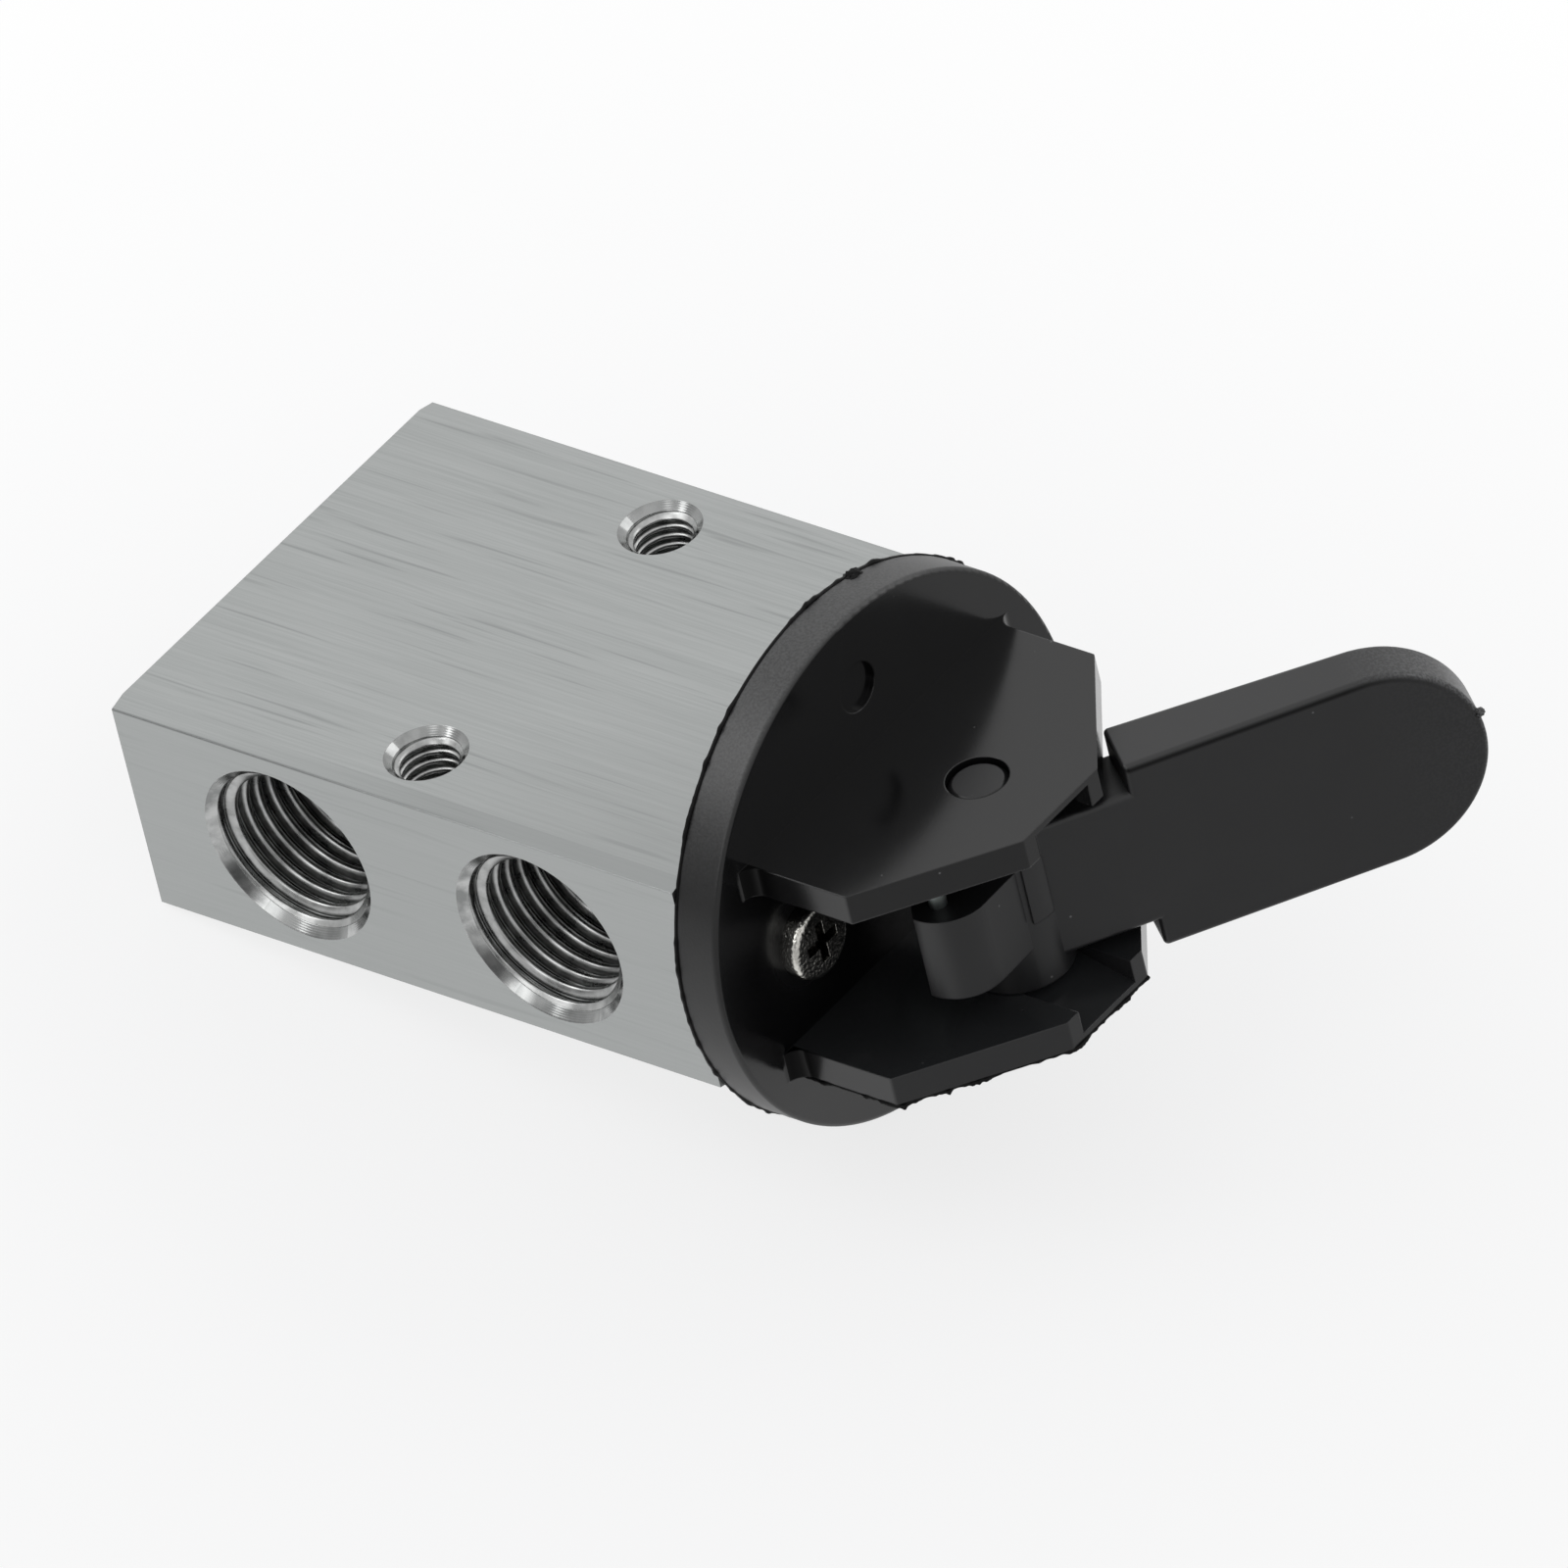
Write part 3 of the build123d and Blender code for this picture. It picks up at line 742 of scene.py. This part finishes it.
def make_thread_tree():
    """A thread ridge wound along +Z from a mouth at the origin, cut back by the countersinks."""
    tree, given, result = new_shape_tree(
        "thread_ridge",
        {
            "Radius": 6.6 * MM,
            "Ridge": 0.8 * MM,
            "Pitch": 1.3 * MM,
            "Start": -1.0 * MM,
            "Turns": 6.0,
            "Steps Per Turn": 72,
            "Mouth Radius": 7.2 * MM,
            "Far Mouth": 1.0,
            "Run Out": 1.0 * MM,
        },
    )
    cover = 0.02 * MM
    ridge, pitch, mouth = (given.outputs[label] for label in ("Ridge", "Pitch", "Mouth Radius"))
    height = multiply(tree, given.outputs["Turns"], pitch)
    crest = multiply(tree, pitch, CREST_SHARE)
    sizes = {
        "Height": ridge,
        "Bottom Width": multiply(tree, pitch, ROOT_SHARE),
        "Top Width": crest,
        "Offset": 0.0,
    }
    section = add_node(tree, "GeometryNodeCurvePrimitiveQuadrilateral", sizes, mode="TRAPEZOID")
    inputs = {"Curve": section.outputs["Curve"], "Radius": multiply(tree, crest, 0.5), "Count": 2}
    softened = add_node(tree, "GeometryNodeFilletCurve", inputs, mode="POLY")
    inward = add_node(tree, "ShaderNodeCombineXYZ", {"X": multiply(tree, ridge, 0.5)})
    inputs = {
        "Geometry": softened.outputs["Curve"],
        "Translation": inward.outputs["Vector"],
        "Rotation": (0.0, 0.0, -math.pi / 2),
    }
    turned = add_node(tree, "GeometryNodeTransform", inputs).outputs["Geometry"]
    wound = sweep(tree, spiral(tree, given, given.outputs["Radius"], height), turned)

    # The ridge stays inside the countersinks at its ends and runs out where the hole is blind
    x, y, z = tree_point(tree)
    across = distance_from(tree, x, y, (0.0, 0.0))
    sunk = calculate(tree, "MAXIMUM", add(tree, z, given.outputs["Start"]), cover)
    depth = calculate(tree, "MINIMUM", sunk, subtract(tree, given.outputs["Far Mouth"], cover))
    far_depth = subtract(tree, given.outputs["Far Mouth"], depth)
    cones = [subtract(tree, mouth, sunk_by) for sunk_by in (depth, far_depth)]
    cone = add(tree, calculate(tree, "MAXIMUM", *cones), cover)
    end_gap = subtract(tree, height, z)
    fading = between(tree, end_gap, given.outputs["Radius"], 0.0, 0.0, given.outputs["Run Out"])
    wall = calculate(tree, "MAXIMUM", across, cone, fading)
    ratio = calculate(tree, "DIVIDE", wall, calculate(tree, "MAXIMUM", across, cover))
    cut = move_points(tree, wound, multiply(tree, x, ratio), multiply(tree, y, ratio), depth)
    end_tree(tree, given, result, cut)
    return tree


thread_tree = make_thread_tree()


def thread(name, mouth_point, into, radius, ridge, pitch, mouth_radius, depth, through, steps):
    """Threads cut along one hole. `into` points down the hole from its mouth."""
    sink = 0.03 * MM
    lead_in = 0.7 * pitch
    run = depth + 2 * lead_in if through else depth + lead_in - pitch
    values = {
        "Radius": radius + sink,
        "Ridge": ridge + sink,
        "Pitch": pitch,
        "Start": -lead_in,
        "Turns": run / pitch,
        "Steps Per Turn": steps,
        "Mouth Radius": mouth_radius,
        "Far Mouth": depth if through else 1.0,
        "Run Out": 0.01 * pitch if through else pitch,
        "Finish": cut_aluminium,
    }
    mesh = run_tree(name, thread_tree, values)
    mesh.transform(Matrix.Translation(mouth_point) @ turn_towards(into))
    add_piece(name, mesh, "root")


port_thread = {
    "radius": port_radius,
    "ridge": 0.84 * MM,
    "pitch": 1.337 * MM,
    "mouth_radius": PORT_MOUTH_RADIUS,
    "depth": PORT_DEPTH,
    "through": False,
    "steps": 96,
}
hole_thread = {
    "radius": hole_radius,
    "ridge": 0.43 * MM,
    "pitch": 0.8 * MM,
    "mouth_radius": HOLE_MOUTH_RADIUS,
    "depth": block_high.z - block_low.z,
    "through": True,
    "steps": 56,
}
for label, place in zip(("rear", "front"), port_places):
    mouth_point = Vector((place.x, block_low.y, place.z))
    thread("port_thread_" + label, mouth_point, (0, 1, 0), **port_thread)
for side, label in ((-1, "near"), (1, "far")):
    mouth_point = Vector((0, side * hole_y, block_high.z))
    thread("mounting_thread_" + label, mouth_point, (0, 0, -1), **hole_thread)


# Return spring with closed ends


def make_spring_tree():
    """A round wire coil along +Z whose first and last turns lie closed."""
    tree, given, result = new_shape_tree(
        "coil_spring",
        {
            "Coil Radius": 1.7 * MM,
            "Wire Radius": 0.3 * MM,
            "Length": 11.6 * MM,
            "Turns": 9.0,
            "Steps Per Turn": 40,
        },
    )
    turns = given.outputs["Turns"]
    x, y, turn = tree_point(tree)
    wire = multiply(tree, given.outputs["Wire Radius"], 2.0)
    last = subtract(tree, turns, 1.0)
    first_rise = multiply(tree, calculate(tree, "MINIMUM", turn, 1.0), wire)
    last_rise = multiply(tree, calculate(tree, "MAXIMUM", subtract(tree, turn, last), 0.0), wire)
    free = subtract(tree, given.outputs["Length"], multiply(tree, wire, 2.0))
    rise = add(tree, first_rise, last_rise, between(tree, turn, 0.0, free, 1.0, last))
    even_coil = spiral(tree, given, given.outputs["Coil Radius"], turns)
    coil = move_points(tree, even_coil, x, y, rise)
    inputs = {"Resolution": 14, "Radius": given.outputs["Wire Radius"]}
    section = add_node(tree, "GeometryNodeCurvePrimitiveCircle", inputs).outputs["Curve"]
    end_tree(tree, given, result, sweep(tree, coil, section))
    return tree


spring_radius = (spring_high.z - spring_low.z) / 2
spring_wire_radius = 0.3 * MM
spring_span = spring_high.x - spring_low.x
spring_values = {
    "Coil Radius": spring_radius - spring_wire_radius,
    "Wire Radius": spring_wire_radius,
    "Length": spring_span - 2 * spring_wire_radius,
    "Turns": 9.0,
    "Steps Per Turn": 40,
    "Finish": spring_steel,
}
spring_mesh = run_tree("return_coil", make_spring_tree(), spring_values)
spring_start = Vector((spring_low.x + spring_wire_radius, 0, axis_height))
spring_mesh.transform(Matrix.Translation(spring_start) @ turn_towards((1, 0, 0)))
coil_piece = add_piece("return_coil", spring_mesh, "root")
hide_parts("return_spring")
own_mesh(coil_piece)


# Moulding flash: thin ragged skins along the parting edges


def make_flash_tree():
    """A ragged skin raised from a path that carries its outward and sideways directions."""
    tree, given, result = new_shape_tree(
        "moulding_flash",
        {
            "Hidden": 0.3 * MM,
            "Reach": 0.3 * MM,
            "Thickness": 0.12 * MM,
            "Raggedness": 1500.0,
            "Seed": 1.0,
        },
    )
    directions = []
    for label in ("outward", "sideways"):
        inputs = {"Name": label}
        kind = "GeometryNodeInputNamedAttribute"
        attribute = add_node(tree, kind, inputs, data_type="FLOAT_VECTOR")
        directions.append(attribute.outputs["Attribute"])
    outward, sideways = directions
    place = add_node(tree, "GeometryNodeInputPosition").outputs["Position"]
    shifted = vector_step(tree, "ADD", place, given.outputs["Seed"])
    teeth, drift = (
        between(
            tree,
            noise_level(tree, shifted, multiply(tree, given.outputs["Raggedness"], scale), 2.0),
            0.0,
            1.0,
            low,
            high,
        )
        for scale, low, high in ((1.0, 0.45, 0.8), (0.22, 0.42, 0.62))
    )
    ragged = multiply(tree, add(tree, teeth, 0.35), drift)
    shown = multiply(tree, add(tree, ragged, 0.15), given.outputs["Reach"])
    inputs = {
        "Mesh": given.outputs["Geometry"],
        "Offset": outward,
        "Offset Scale": add(tree, shown, given.outputs["Hidden"]),
    }
    skin = add_node(tree, "GeometryNodeExtrudeMesh", inputs, mode="EDGES").outputs["Mesh"]
    inputs = {
        "Mesh": skin,
        "Offset": sideways,
        "Offset Scale": given.outputs["Thickness"],
        "Individual": False,
    }
    front = add_node(tree, "GeometryNodeExtrudeMesh", inputs, mode="FACES")
    back = add_node(tree, "GeometryNodeFlipFaces", {"Mesh": skin})
    both = tree.nodes.new("GeometryNodeJoinGeometry")
    for side in (front, back):
        tree.links.new(side.outputs["Mesh"], both.inputs["Geometry"])
    inputs = {"Geometry": both.outputs["Geometry"], "Distance": 0.002 * MM}
    closed = add_node(tree, "GeometryNodeMergeByDistance", inputs)
    end_tree(tree, given, result, closed.outputs["Geometry"])
    return tree


flash_tree = make_flash_tree()


def flash(name, stations, closed, **values):
    """Flash along a path. Each station gives a root point, an outward and a sideways direction."""
    path = bpy.data.meshes.new(name + "_path")
    count = len(stations)
    links = [(i, (i + 1) % count) for i in range(count if closed else count - 1)]
    path.from_pydata([station[0] for station in stations], links, [])
    for label, column in (("outward", 1), ("sideways", 2)):
        attribute = path.attributes.new(label, "FLOAT_VECTOR", "POINT")
        for entry, station in zip(attribute.data, stations):
            entry.vector = station[column]
    mesh = run_tree(name, flash_tree, {**values, "Finish": torn_plastic}, path)
    tidy = bmesh.new()
    tidy.from_mesh(mesh)
    loose = [edge for edge in tidy.edges if not edge.link_faces]
    bmesh.ops.delete(tidy, geom=loose, context="EDGES")
    bmesh.ops.recalc_face_normals(tidy, faces=tidy.faces)
    tidy.to_mesh(mesh)
    tidy.free()
    add_piece(name, mesh, "root")


def disc_edge(x, radius, steps=720):
    """Stations round the disc, with the flash's thickness towards the lever."""
    stations = []
    for i in range(steps):
        turn = 2 * math.pi * i / steps
        outward = Vector((0, math.cos(turn), math.sin(turn)))
        point = axis_point + outward * radius + Vector((x, 0, 0))
        stations.append((point, outward, Vector((1, 0, 0))))
    return stations


def edge_run(corners, outward_tilt, spacing=0.12 * MM):
    """Stations along straight runs between corners, outward to the right of the run."""
    up = Vector((0, 0, 1))
    stations = []
    for start, end in zip(corners, corners[1:]):
        run = end - start
        steps = max(2, round(run.length / spacing))
        outward = (run.cross(up).normalized() + up * outward_tilt).normalized()
        stations += [(start + run * (i / steps), outward, up) for i in range(steps)]
    stations.append((corners[-1], *stations[-1][1:]))
    return stations


flash(
    "disc_flash_back",
    disc_edge(disc_back + 0.03 * MM, disc_radius - 0.3 * MM),
    closed=True,
    Hidden=0.3 * MM,
    Reach=0.32 * MM,
    Thickness=0.22 * MM,
    Raggedness=1500.0,
    Seed=0.3,
)
inset = Vector((-0.1 * MM, 0.1 * MM, 0.02 * MM))
cheek_corners = [
    Vector((x, y, axis_height - CHEEK_OUTER)) + inset
    for x, y in (
        (DISC_FACE_X, -CHEEK_HALF_WIDTH),
        (CHEEK_SHOULDER_X, -CHEEK_HALF_WIDTH),
        (bracket_high.x, -CHEEK_TIP_HALF_WIDTH),
        (bracket_high.x, CHEEK_TIP_HALF_WIDTH),
    )
]
flash(
    "cheek_flash_low",
    edge_run(cheek_corners, -0.6),
    closed=False,
    Hidden=0.12 * MM,
    Reach=0.42 * MM,
    Thickness=0.1 * MM,
    Raggedness=2600.0,
    Seed=0.7,
)


# Gate stubs and the raised pad on the lever's hub


def lump(name, centre, size, seed, body, finish):
    """A torn crumb of plastic."""
    ruggedness = 0.4
    crumb = bmesh.new()
    bmesh.ops.create_icosphere(crumb, subdivisions=4, radius=1.0)
    for vert in crumb.verts:
        push = noise.fractal(vert.co * 1.7 + Vector((seed, seed, seed)), 0.8, 2.0, 3)
        swollen = vert.co * (1 + ruggedness * push)
        vert.co = Vector(centre) + Vector([part * scale for part, scale in zip(swollen, size)])
    bmesh.ops.recalc_face_normals(crumb, faces=crumb.faces)
    mesh = bpy.data.meshes.new(name)
    crumb.to_mesh(mesh)
    crumb.free()
    mesh.materials.append(finish)
    add_piece(name, mesh, body)


LUMP_TURN = math.radians(15)
PADDLE_GATE = Vector((60.25, 27.2, 10.85)) * MM
lump_out = Vector((0, math.sin(LUMP_TURN), math.cos(LUMP_TURN)))
lump(
    "disc_gate_lump",
    axis_point + lump_out * (disc_radius - 0.1 * MM) + Vector((disc_back + 0.4 * MM, 0, 0)),
    (0.55 * MM, 0.85 * MM, 0.42 * MM),
    3.1,
    "root",
    torn_plastic,
)
lump(
    "paddle_gate_stub",
    PADDLE_GATE,
    (0.38 * MM, 0.38 * MM, 0.3 * MM),
    7.7,
    "lever",
    lever_plastic,
)


def hub_pad(name, radius, thickness, start, end, low, high, steps=16):
    """A raised strip that follows the hub's round between two angles and two heights."""
    pad = bmesh.new()
    middle = Vector((pivot.x, pivot.y, 0))
    hidden, shown = radius - 0.2 * MM, radius + thickness
    corners = ((hidden, low), (shown, low), (shown, high), (hidden, high))
    rings = []
    for i in range(steps + 1):
        turn = math.radians(start + (end - start) * i / steps)
        outward = Vector((math.cos(turn), math.sin(turn), 0))
        points = [middle + outward * reach + Vector((0, 0, z)) for reach, z in corners]
        rings.append([pad.verts.new(point) for point in points])
    for ring, following in zip(rings, rings[1:]):
        for j in range(4):
            pad.faces.new((ring[j], ring[(j + 1) % 4], following[(j + 1) % 4], following[j]))
    pad.faces.new(rings[0])
    pad.faces.new(rings[-1])
    bmesh.ops.recalc_face_normals(pad, faces=pad.faces)
    mesh = bpy.data.meshes.new(name)
    pad.to_mesh(mesh)
    pad.free()
    mesh.materials.append(lever_plastic)
    add_piece(name, mesh, "lever")


hub_pad(
    "hub_pad",
    radius=3.9 * MM,
    thickness=0.22 * MM,
    start=-24,
    end=3,
    low=7.7 * MM,
    high=12.6 * MM,
)


# End of the steel pin that shows over the cam lobe


def make_pin_tree():
    """A pin along +Z with a rounded end."""
    tree, given, result = new_shape_tree(
        "round_pin", {"Radius": 0.65 * MM, "Height": 3.0 * MM, "Sides": 48}
    )
    radius, height = given.outputs["Radius"], given.outputs["Height"]
    inputs = {
        "Vertices": given.outputs["Sides"],
        "Side Segments": 12,
        "Fill Segments": 6,
        "Radius": radius,
        "Depth": height,
    }
    rod = add_node(tree, "GeometryNodeMeshCylinder", inputs).outputs["Mesh"]
    x, y, z = tree_point(tree)
    across = calculate(tree, "DIVIDE", distance_from(tree, x, y, (0.0, 0.0)), radius)
    lowered = subtract(tree, z, multiply(tree, across, across, radius, 0.35))
    is_top = above(tree, z, subtract(tree, multiply(tree, height, 0.5), 0.01 * MM))
    domed = move_points(tree, rod, x, y, choose(tree, is_top, z, lowered))
    end_tree(tree, given, result, domed)
    return tree


PIN_X = 38.9 * MM
PIN_Y = -6.9 * MM
PIN_LOW = 11.6 * MM
PIN_HIGH = 14.9 * MM
pin_values = {"Radius": 0.65 * MM, "Height": PIN_HIGH - PIN_LOW, "Sides": 48, "Finish": steel}
pin_mesh = run_tree("lobe_pin", make_pin_tree(), pin_values)
pin_mesh.transform(Matrix.Translation((PIN_X, PIN_Y, (PIN_LOW + PIN_HIGH) / 2)))
add_piece("lobe_pin", pin_mesh, "lever")


# Camera, at the photograph's viewing angle

VIEW_AZIMUTH = math.radians(46.003)
VIEW_ELEVATION = math.radians(37.179)
VIEW_ROLL = math.radians(-13.95)
VIEW_POINT = Vector((1604.981, -1530.622, 1682.898)) * MM
FOCAL_PIXELS = 40852.0
IMAGE_PIXELS = 1600.0
SENSOR = 36.0

view_back = Vector(
    (
        math.sin(VIEW_AZIMUTH) * math.cos(VIEW_ELEVATION),
        -math.cos(VIEW_AZIMUTH) * math.cos(VIEW_ELEVATION),
        math.sin(VIEW_ELEVATION),
    )
)
level_right = Vector((math.cos(VIEW_AZIMUTH), math.sin(VIEW_AZIMUTH), 0))
level_up = view_back.cross(level_right)
view_right = level_right * math.cos(VIEW_ROLL) + level_up * math.sin(VIEW_ROLL)
view_up = view_back.cross(view_right)
camera_data = bpy.data.cameras.new("camera")
camera_data.sensor_width = SENSOR
camera_data.lens = FOCAL_PIXELS / IMAGE_PIXELS * SENSOR
camera_data.clip_end = 20.0
camera = new_object("camera", camera_data)
columns = (view_right, view_up, view_back, VIEW_POINT)
rows = [[column[i] for column in columns] for i in range(3)]
camera.matrix_world = Matrix((*rows, (0, 0, 0, 1)))
bpy.context.scene.camera = camera


# Floor: the valve rests on its disc and on the rear bottom edge of the block

WHITE = (1.0, 1.0, 1.0, 1.0)
PAPER = (0.88, 0.88, 0.885, 1.0)
ROOM_TINT = (0.97, 0.98, 1.0, 1.0)
FLOOR_RADIUS = 140 * MM
FLOOR_CORNERS = 64
floor_slope = math.atan2(-bracket_low.z, bracket_low.x - block_low.x)


def mix_shaders(tree, factor, first, second):
    """Mixes two shaders."""
    return add_node(tree, "ShaderNodeMixShader", {0: factor, 1: first, 2: second}).outputs[0]


def make_floor_material():
    """Pale floor that keeps a faint shadow and fades into the background, clear from below, with
    painted shade: a little darker towards +X and -Y, and dimmer beyond the lever where gloss
    mirrors it.
    """
    material = bpy.data.materials.new("pale_floor")
    material.use_nodes = True
    tree = material.node_tree
    tree.nodes.clear()
    x, y = split(tree, own_place(tree))[:2]
    away = distance_from(tree, x, y, (0.0, 0.0))
    fade = between(tree, away, 0.8, 1.0, 0.3 * FLOOR_RADIUS, 0.8 * FLOOR_RADIUS)
    path = add_node(tree, "ShaderNodeLightPath").outputs
    seen_rays = [path[label] for label in ("Is Camera Ray", "Is Glossy Ray", "Is Transmission Ray")]
    seen = calculate(tree, "MAXIMUM", *seen_rays)
    # Painted shadow: the floor that gloss mirrors dims beyond the lever, where the object's shadow
    # falls
    floor_shadow_in_gloss = between(tree, x, 1.0, 0.5, 36 * MM, 54 * MM)
    # Painted shade: the floor seen straight grows slightly darker towards +X and -Y
    near_side = subtract(tree, x, y)
    level = between(tree, near_side, 1.0, 0.96, -0.6 * FLOOR_RADIUS, 0.6 * FLOOR_RADIUS)
    glow = choose(tree, path["Is Glossy Ray"], level, floor_shadow_in_gloss)
    paper = add_node(tree, "ShaderNodeBsdfDiffuse", {"Color": PAPER}).outputs[0]
    lit = add_node(tree, "ShaderNodeEmission", {"Color": WHITE, "Strength": glow}).outputs[0]
    clear = add_node(tree, "ShaderNodeBsdfTransparent").outputs[0]
    front = mix_shaders(tree, multiply(tree, seen, fade), paper, lit)
    behind = add_node(tree, "ShaderNodeNewGeometry").outputs["Backfacing"]
    surface = mix_shaders(tree, behind, front, clear)
    add_node(tree, "ShaderNodeOutputMaterial", {"Surface": surface})
    return material


floor_mesh = bpy.data.meshes.new("floor")
floor_turns = [2 * math.pi * i / FLOOR_CORNERS for i in range(FLOOR_CORNERS)]
floor_mesh.from_pydata(
    [(FLOOR_RADIUS * math.cos(turn), FLOOR_RADIUS * math.sin(turn), 0) for turn in floor_turns],
    [],
    [list(range(FLOOR_CORNERS))],
)
floor_mesh.materials.append(make_floor_material())
floor = new_object("floor", floor_mesh)
floor.matrix_world = (
    Matrix.Translation((block_low.x, 0, block_low.z - 0.02 * MM))
    @ Matrix.Rotation(floor_slope, 4, "Y")
    @ Matrix.Translation((30 * MM, 0, 0))
)


# Light: an even pale room and two large soft lamps

world = bpy.data.worlds.new("room")
world.use_nodes = True
bpy.context.scene.world = world
room = world.node_tree
room.nodes.clear()
room_path = add_node(room, "ShaderNodeLightPath").outputs
room_direction = add_node(room, "ShaderNodeTexCoord").outputs["Generated"]
mirror_level = between(room, split(room, room_direction)["Z"], 0.55, 1.0, -0.3, 0.25)

# What metal and gloss mirror: two dark cards and a bright window, each with its level and cone
for direction, level, start, end in (
    ((0.5, -0.8, 0.33), 0.2, 0.9, 0.97),
    ((-0.57, -0.78, 0.0), 0.25, 0.75, 0.95),
    ((0.15, -0.81, 0.56), 3.0, 0.955, 0.985),
):
    aim = Vector(direction).normalized()
    near = vector_step(room, "DOT_PRODUCT", room_direction, aim, output="Value")
    mirror_level = multiply(room, mirror_level, between(room, near, 1.0, level, start, end))
room_light, mirror_room, backdrop = (
    add_node(room, "ShaderNodeBackground", {"Color": colour, "Strength": strength}).outputs[0]
    for colour, strength in ((ROOM_TINT, 0.7), (WHITE, mirror_level), (WHITE, 1.0))
)
mirrored = mix_shaders(room, room_path["Is Glossy Ray"], room_light, mirror_room)
straight_rays = (room_path["Is Camera Ray"], room_path["Is Transmission Ray"])
straight = calculate(room, "MAXIMUM", *straight_rays)
add_node(
    room, "ShaderNodeOutputWorld", {"Surface": mix_shaders(room, straight, mirrored, backdrop)}
)


def soft_lamp(name, place, aim, size, power):
    """A square area lamp that looks at a point."""
    data = bpy.data.lights.new(name, "AREA")
    data.size = size
    data.energy = power
    towards = (Vector(aim) - Vector(place)).to_track_quat("-Z", "Y").to_matrix().to_4x4()
    new_object(name, data).matrix_world = Matrix.Translation(place) @ towards


soft_lamp("key_lamp", (-0.3, -0.25, 0.45), (0.01, 0, 0), size=0.3, power=0.7)
soft_lamp("back_lamp", (0.3, 0.45, 0.35), (0.01, 0, 0), size=0.3, power=0.4)

bpy.context.scene.view_settings.view_transform = "Standard"
